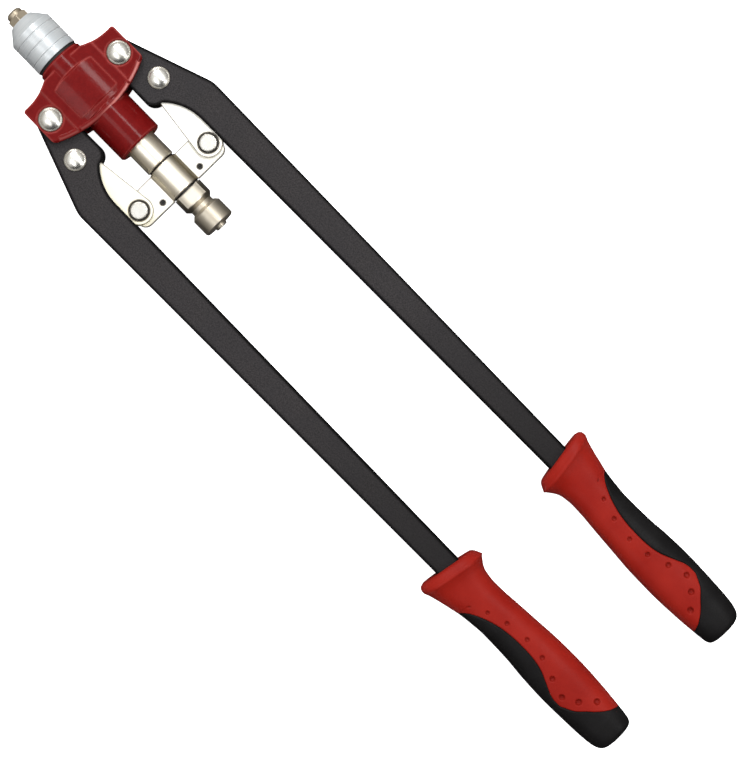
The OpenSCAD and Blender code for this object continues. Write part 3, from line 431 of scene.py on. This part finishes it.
enamelLook = {
    "deep": (0.112, 0.0029, 0.0033), "light": (0.162, 0.0062, 0.0060),
    # the edge colour is a painted highlight along edges, partly thin enamel; the third colour is a
    # painted highlight along the rear rim
    "edge": (0.42, 0.075, 0.065), "edgeShare": 0.7, "rimHighlight": (0.60, 0.20, 0.18),
    "coat": 0.17, "coatRoughness": 0.10, "specular": 0.035,
    "plainRoughness": 0.26, "roughness": (0.15, 0.26),
    "edges": {"Radius": 0.0022, "Reach": 0.0020, "Sharpness": 8.0, "Breakup": 0.25},
    "marks": {"Size": 38.0, "Amount": 0.6, "Specks": 0.15},
    "lumps": {"Scale": 170.0, "Detail": 2.0, "Low": 0.25, "High": 0.75},
    "lumpDepth": 0.00012, "lumpShade": 0.6,
    "peel": {"Scale": 900.0, "Detail": 2.0, "Low": 0.3, "High": 0.7},
    "peelDepth": 0.00003, "peelShade": 0.4,
}


def makeEnamel():
    # red enamel over a casting: lumps, orange peel, edges lightened as painted highlight and partly
    # thin enamel, and a painted highlight along the rear rim
    look = enamelLook
    material, tree, shader = startMaterial(
        "redEnamel", 0.0, look["plainRoughness"], look["coat"], look["coatRoughness"],
        look["specular"])
    edges = useGroup(tree, softEdges, look["edges"])
    lumps = useGroup(tree, fineGrain, look["lumps"])["Grain"]
    peel = useGroup(tree, fineGrain, look["peel"])["Grain"]
    dull = useGroup(tree, handlingMarks, look["marks"])["Dull"]
    mottle = plus(tree, times(tree, lumps, look["lumpShade"]), times(tree, peel, look["peelShade"]))
    colour = mixColour(tree, mottle, look["deep"], look["light"])
    # painted highlight along the edges, partly thin enamel
    paintedLight = times(tree, edges["Edge"], look["edgeShare"])
    colour = mixColour(tree, paintedLight, colour, look["edge"])
    # painted highlight along the rear rim
    colour = mixColour(tree, meshMark(tree, "rimHighlight"), colour, look["rimHighlight"])
    rough = mapRange(tree, dull, 0.0, 1.0, *look["roughness"])
    height = plus(tree, times(tree, lumps, look["lumpDepth"] / look["peelDepth"]), peel)
    dress(tree, shader, colour, rough, height, look["peelDepth"], edges["Normal"])
    return material


powderLook = {
    "pit": (0.018, 0.0165, 0.017), "grain": (0.042, 0.038, 0.039),
    "cloud": (0.022, 0.021, 0.024), "cloudShare": 0.35,
    # painted shade: a near-black, metallic outline along edges and folds
    "edge": (0.002, 0.002, 0.002), "edgeShare": 0.95,
    # painted shade: the coat is darker towards the grips, from one x to the other
    "paintedLight": (0.012, 0.011, 0.0115), "paintedShadeFrom": -0.26, "paintedShadeTo": -0.40,
    # painted shade on folds and sides: how upright a normal is where the sheet is folded
    "foldOuter": (0.995, 0.93), "foldInner": (0.10, 0.30),
    "specular": 0.09, "plainRoughness": 0.5, "roughness": (0.62, 0.42), "grainDepth": 0.00005,
    "edges": {"Radius": 0.0009, "Reach": 0.0032, "Sharpness": 50.0, "Breakup": 0.05},
    "speckles": {"Scale": 1300.0, "Detail": 3.0, "Low": 0.32, "High": 0.68},
    "clouds": {"Scale": 60.0, "Detail": 4.0, "Low": 0.3, "High": 0.7},
}


def makePowderCoat():
    # grainy black coat, with painted shade along the sheet's folds and edges and towards the grips
    look = powderLook
    material, tree, shader = startMaterial(
        "blackPowderCoat", 0.0, look["plainRoughness"], specular=look["specular"])
    edges = useGroup(tree, softEdges, look["edges"])
    place = addNode(tree, "ShaderNodeTexCoord").outputs
    upward = maths(tree, "ABSOLUTE", split(tree, place["Normal"])["Z"])
    foldShade = times(tree, mapRange(tree, upward, *look["foldOuter"]),
                 mapRange(tree, upward, *look["foldInner"]))
    along = split(tree, place["Object"])["X"]
    speckle = useGroup(tree, fineGrain, look["speckles"])["Grain"]
    clouds = useGroup(tree, fineGrain, look["clouds"])["Grain"]
    colour = mixColour(tree, speckle, look["pit"], look["grain"])
    colour = mixColour(tree, times(tree, clouds, look["cloudShare"]), colour, look["cloud"])
    # painted shade, darker towards the grips
    paintedLight = mapRange(tree, along, look["paintedShadeFrom"], look["paintedShadeTo"])
    colour = mixColour(tree, paintedLight, colour, look["paintedLight"])
    # painted shade: near-black and metallic on folds and edges
    dark = times(tree, maths(tree, "MAXIMUM", edges["Edge"], foldShade), look["edgeShare"])
    colour = mixColour(tree, dark, colour, look["edge"])
    tree.links.new(dark, shader.inputs["Metallic"])
    rough = mapRange(tree, speckle, 0.0, 1.0, *look["roughness"])
    dress(tree, shader, colour, rough, speckle, look["grainDepth"], edges["Normal"])
    return material


gripLooks = {
    "gripRed": {
        "dark": (0.228, 0.0092, 0.0056), "light": (0.276, 0.0140, 0.0084), "roughness": 0.44},
    "gripBlack": {
        "dark": (0.0052, 0.0048, 0.0050), "light": (0.0095, 0.0090, 0.0093), "roughness": 0.48},
}
gripWear = {
    # the dimples are darkened by a share of the grip's colour, as painted shade
    "specular": 0.07, "smoother": 0.06, "rougher": 0.12, "dimpleShade": 0.12, "dimpleShadeShare": 0.95,
    "texture": {"Scale": 1500.0, "Detail": 3.0, "Low": 0.3, "High": 0.7},
    "textureDepth": 0.00003,
    "flow": {"Scale": 55.0, "Detail": 3.0, "Low": 0.3, "High": 0.7},
    "marks": {"Size": 50.0, "Amount": 0.7, "Specks": 0.25},
    "edges": {"Radius": 0.0003, "Sharpness": 2.0, "Breakup": 0.2},
}


def makeGripRubber(name):
    # soft moulded grip: fine texture, faint flow marks, and painted shade in the dimples
    look, wear = gripLooks[name], gripWear
    rough = look["roughness"]
    material, tree, shader = startMaterial(name, 0.0, rough, specular=wear["specular"])
    texture = useGroup(tree, fineGrain, wear["texture"])["Grain"]
    flow = useGroup(tree, fineGrain, wear["flow"])["Grain"]
    dull = useGroup(tree, handlingMarks, wear["marks"])["Dull"]
    edges = useGroup(tree, softEdges, wear["edges"])
    # painted shade in the dimples
    dimpleShade = [wear["dimpleShade"] * part for part in look["dark"]]
    inDimpleShade = times(tree, meshMark(tree, "hollow"), wear["dimpleShadeShare"])
    colour = mixColour(tree, inDimpleShade, mixColour(tree, flow, look["dark"], look["light"]), dimpleShade)
    rough = mapRange(tree, dull, 0.0, 1.0, rough - wear["smoother"], rough + wear["rougher"])
    dress(tree, shader, colour, rough, texture, wear["textureDepth"], edges["Normal"])
    return material


metals = {name: makeMetal(name, look) for name, look in metalLooks.items()}
materialOfSlot = {
    "nose_steel": metals["tanSteel"], "zinc": metals["brightZinc"],
    "tube_nickel": metals["satinNickel"], "cap_steel": metals["greySteel"],
    "dark_steel": metals["blackenedSteel"], "jaw_steel": metals["toolSteel"],
    "spring_steel": metals["springWire"], "plate_nickel": makePlateNickel(),
    "pin_steel": makePinSteel(), "red_enamel": makeEnamel(), "black_paint": makePowderCoat(),
    "bush_bronze": makePorous("bronzeBush"), "seal_rubber": makePorous("sealRubber"),
    "grip_red": makeGripRubber("gripRed"), "grip_black": makeGripRubber("gripBlack"),
}
slotOfNode = {row["node"]: row["material_slot"] for row in frame["record"]["subparts"]}
for nodeName, cadObject in nodes.items():
    for place in cadObject.material_slots:
        place.material = materialOfSlot[slotOfNode[nodeName]]
print("materials given to", len(nodes), "nodes")


# lofts: closed pieces through rings of points

loftLimits = {"joinWithin": 0.000012, "dropUnder": 0.000008}


def smoothThrough(table, column, where):
    # a curve through the table's points without overshoot
    xs = np.array([row[0] for row in table])
    ys = np.array([row[column] for row in table])
    steps = np.diff(ys) / np.diff(xs)
    slopes = np.zeros(len(xs))
    slopes[0], slopes[-1] = steps[0], steps[-1]
    for k in range(1, len(xs) - 1):
        if steps[k - 1] * steps[k] > 0:
            before, after = xs[k] - xs[k - 1], xs[k + 1] - xs[k]
            slopes[k] = (before + after) / (after / steps[k - 1] + before / steps[k])
    k = np.clip(np.searchsorted(xs, where) - 1, 0, len(xs) - 2)
    width = xs[k + 1] - xs[k]
    t = np.clip((where - xs[k]) / width, 0.0, 1.0)
    return ((2 * t**3 - 3 * t**2 + 1) * ys[k] + (t**3 - 2 * t**2 + t) * width * slopes[k]
            + (3 * t**2 - 2 * t**3) * ys[k + 1] + (t**3 - t**2) * width * slopes[k + 1])


def meshThrough(name, rings):
    # the ends are shut by fans
    mesh = bpy.data.meshes.new(name)
    work = bmesh.new()
    rows = [[work.verts.new(point) for point in ring] for ring in rings]
    for ahead, behind in zip(rows[:-1], rows[1:]):
        for k in range(len(ahead)):
            n = (k + 1) % len(ahead)
            work.faces.new((ahead[k], ahead[n], behind[n], behind[k]))
    for row in (rows[0], rows[-1]):
        centre = work.verts.new(sum((v.co for v in row), Vector()) / len(row))
        for k in range(len(row)):
            work.faces.new((row[k], row[(k + 1) % len(row)], centre))
    bmesh.ops.remove_doubles(work, verts=work.verts, dist=loftLimits["joinWithin"])
    bmesh.ops.dissolve_degenerate(work, edges=work.edges, dist=loftLimits["dropUnder"])
    bmesh.ops.recalc_face_normals(work, faces=work.faces)
    work.to_mesh(mesh)
    work.free()
    for face in mesh.polygons:
        face.use_smooth = True
    return addObject(name, mesh)


# grips: one closed outline, parted along a wavy line into the red part and the black cover

gripShape = {
    # all in mm. Stations: place along the grip behind lineX, outer and inner distance from the
    # tool's axis, half thickness
    "stations": [
        (333.5, 59.8, 27.8, 11.0), (334.2, 61.5, 26.7, 12.0), (335.6, 62.9, 25.7, 13.0),
        (337.4, 63.4, 24.8, 13.9), (338.6, 63.4, 24.2, 14.6), (339.5, 63.0, 25.0, 14.7),
        (341.0, 62.3, 26.1, 14.0), (344.5, 61.0, 28.0, 12.8), (348.5, 59.6, 29.3, 12.2),
        (353.0, 58.4, 30.1, 11.9), (358.0, 57.3, 30.6, 11.7), (366.0, 56.3, 30.4, 11.6),
        (375.0, 55.6, 29.7, 11.7), (392.0, 55.9, 28.5, 12.0), (408.0, 57.1, 27.5, 12.0),
        (423.0, 57.6, 27.3, 12.0), (445.0, 57.0, 28.3, 12.0), (455.0, 56.4, 29.2, 12.0),
        (461.5, 55.5, 29.9, 11.8), (465.0, 54.2, 30.5, 11.3), (466.9, 52.5, 31.6, 10.4),
        (467.9, 50.3, 33.6, 8.8), (468.4, 47.6, 36.4, 6.4),
    ],
    "lineX": 58.4,
    "squareness": 2.7,
    # the flange leans, and the lean fades out behind it
    "lean": 0.17, "leanFrom": 341.0, "leanTo": 353.0,
    # where red meets black on both faces: place along the grip, distance from the tool's axis
    "parting": [
        (355.6, 58.6), (357.2, 56.2), (359.6, 53.9), (362.6, 51.9), (366.2, 50.1), (373.2, 47.4),
        (380.1, 45.7), (389.4, 44.7), (396.3, 44.6), (404.6, 45.2), (411.0, 46.7), (416.0, 48.8),
        (420.6, 50.9), (424.6, 52.6), (428.3, 53.3), (431.6, 53.3), (435.2, 51.9), (439.9, 49.3),
        (444.4, 44.8), (449.1, 40.1), (453.3, 34.5), (455.6, 30.0), (457.2, 26.5),
    ],
    "redPast": 0.8, "blackBefore": 1.6, "gap": 0.06,
    "grooveDepth": 0.55, "grooveWidth": 0.9, "grooveFade": 1.5,
    # dimples in the red part: place along the grip, distance from the axis, diameter
    "dimples": [
        (357.6, 50.3, 1.7), (367.1, 45.2, 2.8), (378.9, 41.7, 3.1), (393.1, 39.9, 3.1),
        (406.2, 41.0, 3.3), (418.5, 45.2, 3.7), (429.6, 48.7, 3.9), (438.0, 43.8, 4.2),
        (445.1, 36.2, 4.2),
    ],
    # depth and flat bottom as shares of a dimple's radius
    "dimpleDepth": 0.75, "dimpleFlat": 0.45,
    # mesh: space between rings, points in half a ring, points close to the parting, and the
    # places before and behind which each station has a ring of its own
    "ringStep": 0.45, "redPoints": 112, "blackPoints": 60, "outlinePoints": 400,
    "closeTo": [0.0, 0.08, 0.2, 0.35, 0.55, 0.8, 1.1], "closeSpan": 3.0,
    "tipsBefore": 342, "tipsBehind": 464,
}


def gripRing(place, part, count):
    # one ring of the red part or the cover, as (place, distance, height) rows in mm
    shape = gripShape
    outer, inner, half = (float(smoothThrough(shape["stations"], c, place)) for c in (1, 2, 3))
    middle, wide = (outer + inner) / 2, (outer - inner) / 2
    power = 2 / shape["squareness"]
    angle = np.linspace(0, math.pi, shape["outlinePoints"])
    across = middle + wide * np.sign(np.cos(angle)) * np.abs(np.cos(angle))**power
    height = half * np.abs(np.sin(angle))**power
    arc = np.concatenate([[0], np.cumsum(np.hypot(np.diff(across), np.diff(height)))])
    parting = float(smoothThrough(shape["parting"], 1, place))
    if place < shape["parting"][0][0]:
        parting = outer + 1
    edgeArc = float(np.interp(-parting, -across, arc))
    if part == "red":
        first, last = edgeArc + shape["gap"] / 2, arc[-1]
    else:
        first, last = 0.0, edgeArc - shape["gap"] / 2
    if edgeArc <= 0.0:
        first = 0.0
    if edgeArc >= arc[-1] - 0.01:
        last = arc[-1]
    span = max(last - first, 0.0)
    close = np.array(shape["closeTo"]) * min(1.0, span / shape["closeSpan"])
    fill = np.linspace(close[-1], span, count - len(close) + 1)[1:]
    fromEdge = np.concatenate([close, fill])
    at = first + fromEdge if part == "red" else last - fromEdge
    y, z = np.interp(at, arc, across), np.interp(at, arc, height)
    # the groove sinks the surface along its normal
    outY, outZ = y - middle, z * (wide / half)**2
    length = np.maximum(np.hypot(outY, outZ), 1e-6)
    fade = np.clip(min(edgeArc, arc[-1] - edgeArc) / shape["grooveFade"], 0.0, 1.0)
    down = np.clip(1 - fromEdge / shape["grooveWidth"], 0.0, 1.0)**2 * shape["grooveDepth"] * fade
    y, z = y - outY / length * down, z - outZ / length * down
    z = np.maximum(z, 0.0)
    leaning = (shape["leanTo"] - place) / (shape["leanTo"] - shape["leanFrom"])
    leaning = np.clip(leaning, 0.0, 1.0)
    leaning = leaning**2 * (3 - 2 * leaning)
    x = place - shape["lean"] * leaning * (y - middle)
    upper = np.stack([x, y, z], 1)
    lower = upper[::-1] * (1, 1, -1)
    return np.concatenate([upper, lower])


def ringPlaces(start, end):
    shape = gripShape
    places = list(np.linspace(start, end, int((end - start) / shape["ringStep"]) + 2))
    tips = [row[0] for row in shape["stations"] if start < row[0] < end
            and (row[0] < shape["tipsBefore"] or row[0] > shape["tipsBehind"])]
    return sorted(set(places + tips))


def buildGripPart(name, part, side, count):
    shape = gripShape
    start, end = shape["stations"][0][0], shape["stations"][-1][0]
    if part == "red":
        end = shape["parting"][-2][0] + shape["redPast"]
    else:
        start = shape["parting"][1][0] - shape["blackBefore"]
    rings = [[(-(shape["lineX"] + x) * mm, side * y * mm, z * mm) for x, y, z in
              gripRing(place, part, count)] for place in ringPlaces(start, end)]
    return meshThrough(name, rings)


# Geometry Nodes: trees are built here, and each result is kept as a plain mesh

def newGeometryTree(name, inputs):
    tree = bpy.data.node_groups.new(name, "GeometryNodeTree")
    geometry = "NodeSocketGeometry"
    tree.interface.new_socket("Geometry", in_out="INPUT", socket_type=geometry)
    for label, kind, default in inputs:
        socket = tree.interface.new_socket(label, in_out="INPUT", socket_type=kind)
        if default is not None:
            socket.default_value = default
    tree.interface.new_socket("Geometry", in_out="OUTPUT", socket_type=geometry)
    return tree, tree.nodes.new("NodeGroupInput").outputs, tree.nodes.new("NodeGroupOutput")


def endGeometryTree(tree, geometry, material, out):
    real = addNode(tree, "GeometryNodeRealizeInstances", {0: geometry})
    links = {"Geometry": real.outputs[0], "Material": material}
    coated = addNode(tree, "GeometryNodeSetMaterial", links)
    tree.links.new(coated.outputs[0], out.inputs[0])


def applyGeometry(piece, tree, values):
    modifier = piece.modifiers.new(tree.name, "NODES")
    modifier.node_group = tree
    keys = {item.name: item.identifier for item in tree.interface.items_tree
            if item.in_out == "INPUT"}
    for label, value in values.items():
        modifier[keys[label]] = value
    bpy.context.view_layer.update()
    graph = bpy.context.evaluated_depsgraph_get()
    mesh = bpy.data.meshes.new_from_object(piece.evaluated_get(graph), depsgraph=graph)
    piece.modifiers.remove(modifier)
    piece.data = mesh


def makeDimpleTree(material):
    # sinks the surface round each seat point and marks it; every seat carries its own radius
    tree, given, out = newGeometryTree("dimples", [
        ("Seats", "NodeSocketObject", None),
        ("Depth Share", "NodeSocketFloat", gripShape["dimpleDepth"]),
        ("Flat Share", "NodeSocketFloat", gripShape["dimpleFlat"])])
    seats = addNode(tree, "GeometryNodeObjectInfo", {"Object": given["Seats"]},
                    transform_space="RELATIVE").outputs["Geometry"]
    near = addNode(tree, "GeometryNodeProximity", {0: seats}, target_element="POINTS")
    which = addNode(tree, "GeometryNodeSampleNearest", {"Geometry": seats}, domain="POINT")
    radius = addNode(tree, "GeometryNodeInputNamedAttribute", {"Name": "dimpleRadius"},
                     data_type="FLOAT").outputs[0]
    links = {"Geometry": seats, "Value": radius, "Index": which.outputs[0]}
    own = addNode(tree, "GeometryNodeSampleIndex", links, data_type="FLOAT").outputs[0]
    links = {"Value": maths(tree, "DIVIDE", near.outputs["Distance"], own), "From Min": 1.0,
             "From Max": given["Flat Share"], "To Min": 0.0, "To Max": 1.0}
    bowl = addNode(tree, "ShaderNodeMapRange", links,
                   interpolation_type="SMOOTHSTEP").outputs["Result"]
    sink = times(tree, times(tree, bowl, times(tree, own, given["Depth Share"])), -1.0)
    outward = addNode(tree, "GeometryNodeInputNormal").outputs[0]
    offset = addNode(tree, "ShaderNodeVectorMath", {0: outward, "Scale": sink}, operation="SCALE")
    links = {"Geometry": given["Geometry"], "Offset": offset.outputs[0]}
    moved = addNode(tree, "GeometryNodeSetPosition", links)
    links = {"Geometry": moved.outputs[0], "Name": "hollow", "Value": bowl}
    marked = addNode(tree, "GeometryNodeStoreNamedAttribute", links,
                     data_type="FLOAT", domain="POINT")
    endGeometryTree(tree, marked.outputs[0], material, out)
    return tree


def makeDimpleSeats(side):
    # points on both faces of the grip, each with its dimple's radius
    shape = gripShape
    points, sizes = [], []
    for place, distance, diameter in shape["dimples"]:
        outer, inner, half = (float(smoothThrough(shape["stations"], c, place)) for c in (1, 2, 3))
        share = abs(distance - (outer + inner) / 2) / ((outer - inner) / 2)
        height = half * (1 - share**shape["squareness"])**(1 / shape["squareness"])
        for face in (1, -1):
            x = -(shape["lineX"] + place)
            points.append((x * mm, side * distance * mm, face * height * mm))
            sizes.append(diameter / 2 * mm)
    mesh = bpy.data.meshes.new("dimpleSeats")
    mesh.from_pydata(points, [], [])
    mesh.attributes.new("dimpleRadius", "FLOAT", "POINT").data.foreach_set("value", sizes)
    return addObject("dimpleSeats", mesh)


dimpleTree = makeDimpleTree(materialOfSlot["grip_red"])
for sideName, side in (("left", 1), ("right", -1)):
    redPart = buildGripPart("gripRed_" + sideName, "red", side, gripShape["redPoints"])
    seats = makeDimpleSeats(side)
    applyGeometry(redPart, dimpleTree, {
        "Seats": seats, "Depth Share": gripShape["dimpleDepth"],
        "Flat Share": gripShape["dimpleFlat"]})
    bpy.data.objects.remove(seats)
    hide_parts("grip_core_" + sideName)
    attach(redPart, "arm_" + sideName)
    cover = buildGripPart("gripCover_" + sideName, "black", side, gripShape["blackPoints"])
    cover.data.materials.append(materialOfSlot["grip_black"])
    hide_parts("grip_cover_" + sideName)
    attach(cover, "arm_" + sideName)
print("grips built")


# raised rim along the housing's rear bow, as one line over wings and crown

rimShape = {
    # all in mm. The bow is an arc round a point of the axis; turn is half its angle in degrees
    "bowCentre": -3.7, "bowRadius": 75.0, "turn": 26.2, "steps": 120,
    # distance from the axis and height of the crest
    "crest": [
        (0.0, 14.75), (2.2, 14.55), (4.4, 14.05), (6.7, 13.45), (8.9, 13.2), (11.0, 13.15),
        (17.5, 13.15), (20.5, 12.45), (30.5, 12.45), (33.2, 11.4)],
    # section: distance inwards from the bow, depth under the crest, share of the painted highlight
    "section": [
        (-0.06, 2.8, 0.0), (-0.06, 1.5, 0.0), (0.08, 1.15, 0.0), (0.35, 0.92, 0.2),
        (0.75, 0.72, 0.9), (1.25, 0.47, 1.0), (1.75, 0.20, 0.4), (2.1, 0.06, 0.0),
        (2.4, 0.0, 0.0), (2.75, 0.05, 0.0), (3.1, 0.20, 0.0), (3.3, 0.45, 0.0), (3.3, 2.8, 0.0)],
    # share of the painted highlight at both sides, and the angle in which one becomes the other
    "rimHighlightRight": 0.85, "rimHighlightLeft": 0.25, "rimHighlightBlend": 0.16,
}


def buildRearRim(name, face):
    shape = rimShape
    rings, rimHighlight = [], []
    for turn in np.radians(np.linspace(-shape["turn"], shape["turn"], shape["steps"])):
        fromAxis = abs(shape["bowRadius"] * math.sin(turn))
        crest = float(smoothThrough(shape["crest"], 1, fromAxis))
        # painted highlight, stronger on the lit side
        toRight = np.clip(0.5 - turn / shape["rimHighlightBlend"], 0.0, 1.0)
        rimHighlightShare = shape["rimHighlightLeft"] + toRight * (shape["rimHighlightRight"] - shape["rimHighlightLeft"])
        ring = []
        for inwards, depth, share in shape["section"]:
            reach = shape["bowRadius"] - inwards
            x = shape["bowCentre"] - reach * math.cos(turn)
            ring.append((x * mm, reach * math.sin(turn) * mm, face * (crest - depth) * mm))
            rimHighlight.append(share * rimHighlightShare)
        rings.append(ring)
    rim = meshThrough(name, rings)
    # the painted highlight is kept on the rim's points
    marks = rimHighlight + [0.0] * (len(rim.data.vertices) - len(rimHighlight))
    rim.data.attributes.new("rimHighlight", "FLOAT", "POINT").data.foreach_set("value", marks)
    return rim


for name, face in (("rearRimUpper", 1), ("rearRimLower", -1)):
    rim = buildRearRim(name, face)
    rim.data.materials.append(materialOfSlot["red_enamel"])
    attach(rim, "head")
print("rims built")


# jaw spring: wire along a helix

springShape = {"turns": 6.0, "wire": 0.6 * mm, "steps": 40, "wireSides": 12}


def makeSpringTree(material):
    tree, given, out = newGeometryTree("coilSpring", [
        ("Turns", "NodeSocketFloat", 6.0), ("Coil Radius", "NodeSocketFloat", 0.004),
        ("Wire Radius", "NodeSocketFloat", 0.0006), ("Length", "NodeSocketFloat", 0.012),
        ("Steps", "NodeSocketInt", 40), ("Sides", "NodeSocketInt", 12)])
    helix = addNode(tree, "GeometryNodeCurveSpiral", {
        "Resolution": given["Steps"], "Rotations": given["Turns"],
        "Start Radius": given["Coil Radius"], "End Radius": given["Coil Radius"],
        "Height": given["Length"]})
    laid = addNode(tree, "GeometryNodeTransform", {
        "Geometry": helix.outputs[0], "Rotation": (0.0, math.pi / 2, 0.0)})
    section = addNode(tree, "GeometryNodeCurvePrimitiveCircle", {
        "Resolution": given["Sides"], "Radius": given["Wire Radius"]})
    wire = addNode(tree, "GeometryNodeCurveToMesh", {
        "Curve": laid.outputs[0], "Profile Curve": section.outputs[0], "Fill Caps": True})
    smooth = addNode(tree, "GeometryNodeSetShadeSmooth", {"Geometry": wire.outputs[0]})
    endGeometryTree(tree, smooth.outputs[0], material, out)
    return tree


low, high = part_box("jaw_spring")
wire = springShape["wire"]
spring = addObject("jawSpring", bpy.data.meshes.new("jawSpring"))
applyGeometry(spring, makeSpringTree(materialOfSlot["spring_steel"]), {
    "Turns": springShape["turns"], "Coil Radius": high.y - wire, "Wire Radius": wire,
    "Length": high.x - low.x - 2 * wire, "Steps": springShape["steps"],
    "Sides": springShape["wireSides"]})
for vertex in spring.data.vertices:
    vertex.co.x += low.x + wire
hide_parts("jaw_spring")
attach(spring, "pull_assembly")
print("spring built")


# floor, light and camera

stageLook = {
    "floorTop": -0.0160, "floorReach": 4.0, "floorColour": (0.93, 0.93, 0.93), "floorGlow": 1.0,
    "floorRoughness": 0.8, "floorSpecular": 0.1,
}


def makeFloor():
    look = stageLook
    corners = ((-1, -1), (1, -1), (1, 1), (-1, 1))
    mesh = bpy.data.meshes.new("floor")
    mesh.from_pydata([(x * look["floorReach"], y * look["floorReach"], look["floorTop"])
                      for x, y in corners], [], [(0, 1, 2, 3)])
    floor = addObject("floor", mesh)
    material, tree, shader = startMaterial(
        "paleFloor", 0.0, look["floorRoughness"], specular=look["floorSpecular"])
    shader.inputs["Base Color"].default_value = rgba(look["floorColour"])
    shader.inputs["Emission Color"].default_value = (1.0, 1.0, 1.0, 1.0)
    seen = addNode(tree, "ShaderNodeLightPath").outputs["Is Camera Ray"]
    tree.links.new(times(tree, seen, look["floorGlow"]), shader.inputs["Emission Strength"])
    floor.data.materials.append(material)
    # the metal's steep sides reflect a dark studio, not the floor
    floor.visible_glossy = False


roomLook = {
    # brightness of the room, from straight down (-1) to straight up (1)
    "stops": [
        (-1.0, (0.02, 0.02, 0.02)), (-0.25, (0.08, 0.07, 0.06)), (0.0, (0.17, 0.15, 0.13)),
        (0.30, (0.32, 0.30, 0.27)), (0.50, (0.40, 0.38, 0.35)), (0.68, (0.72, 0.72, 0.71)),
        (0.90, (0.88, 0.88, 0.88)), (1.0, (0.88, 0.88, 0.88))],
    # a dark patch, and a lighter and a darker half
    "darkSide": (-0.78, 0.46, 0.42), "darkFrom": 0.60, "darkTo": 0.78, "darkLeft": 0.03,
    "lightSide": (0.98, 0.20, 0.0), "behind": 0.55, "ahead": 1.25,
}


def makeWorld():
    look = roomLook
    world = bpy.data.worlds.new("softStudio")
    world.use_nodes = True
    tree = world.node_tree
    tree.nodes.clear()
    direction = addNode(tree, "ShaderNodeTexCoord").outputs["Generated"]
    up = mapRange(tree, split(tree, direction)["Z"], -1.0, 1.0)
    ramp = addNode(tree, "ShaderNodeValToRGB", {"Fac": up})
    stops = look["stops"]
    ends = ramp.color_ramp.elements
    ends[0].position, ends[0].color = 0.0, rgba(stops[0][1])
    ends[1].position, ends[1].color = 1.0, rgba(stops[-1][1])
    for height, colour in stops[1:-1]:
        ramp.color_ramp.elements.new((height + 1) / 2).color = rgba(colour)
    dark = mapRange(tree, dotProduct(tree, direction, look["darkSide"]),
                    look["darkFrom"], look["darkTo"], 1.0, look["darkLeft"])
    fore = mapRange(tree, dotProduct(tree, direction, look["lightSide"]),
                    -1.0, 1.0, look["behind"], look["ahead"])
    links = {"Color": ramp.outputs["Color"], "Strength": times(tree, dark, fore)}
    glow = addNode(tree, "ShaderNodeBackground", links)
    addNode(tree, "ShaderNodeOutputWorld", {"Surface": glow.outputs[0]})
    scene.world = world


softboxes = {
    # place, target, size, brightness
    "keySoftbox": ((0.95, -0.50, 1.05), (-0.25, 0.0, 0.0), (0.6, 0.6), 11.5),
    "sideStrip": ((-0.20, -0.50, 1.30), (-0.20, 0.0, 0.0), (1.2, 0.22), 11.5),
    "fillSoftbox": ((-0.15, 0.62, 1.25), (-0.20, 0.0, 0.0), (1.2, 0.45), 2.4),
    "rearSide": ((-1.22, -0.42, 0.95), (-0.07, 0.0, 0.0), (0.36, 0.22), 14.0),
}


def addSoftbox(name, place, target, size, brightness):
    light = bpy.data.lights.new(name, "AREA")
    light.shape = "RECTANGLE"
    light.size, light.size_y = size
    light.energy = brightness * math.pi * size[0] * size[1]
    lamp = bpy.data.objects.new(name, light)
    lamp.location = place
    towards = Vector(target) - Vector(place)
    lamp.rotation_euler = towards.to_track_quat("-Z", "Y").to_euler()
    lamp.visible_camera = False
    scene.collection.objects.link(lamp)


# straight above the tool; turn is the sine and cosine of the camera's turn about the vertical
cameraLook = {"place": (-0.2884, 0.0, 1.57), "lens": 132.8, "sensor": 36.0,
              "turn": (-0.71383, -0.70015)}


def addCamera():
    look = cameraLook
    data = bpy.data.cameras.new("camera")
    data.lens = look["lens"]
    data.sensor_width = look["sensor"]
    data.sensor_fit = "AUTO"
    camera = addObject("camera", data)
    camera.location = look["place"]
    camera.rotation_euler = (0.0, 0.0, math.atan2(*look["turn"]))
    scene.camera = camera


makeFloor()
makeWorld()
for name, values in softboxes.items():
    addSoftbox(name, *values)
addCamera()
scene.view_settings.view_transform = "Standard"
print("studio ready")
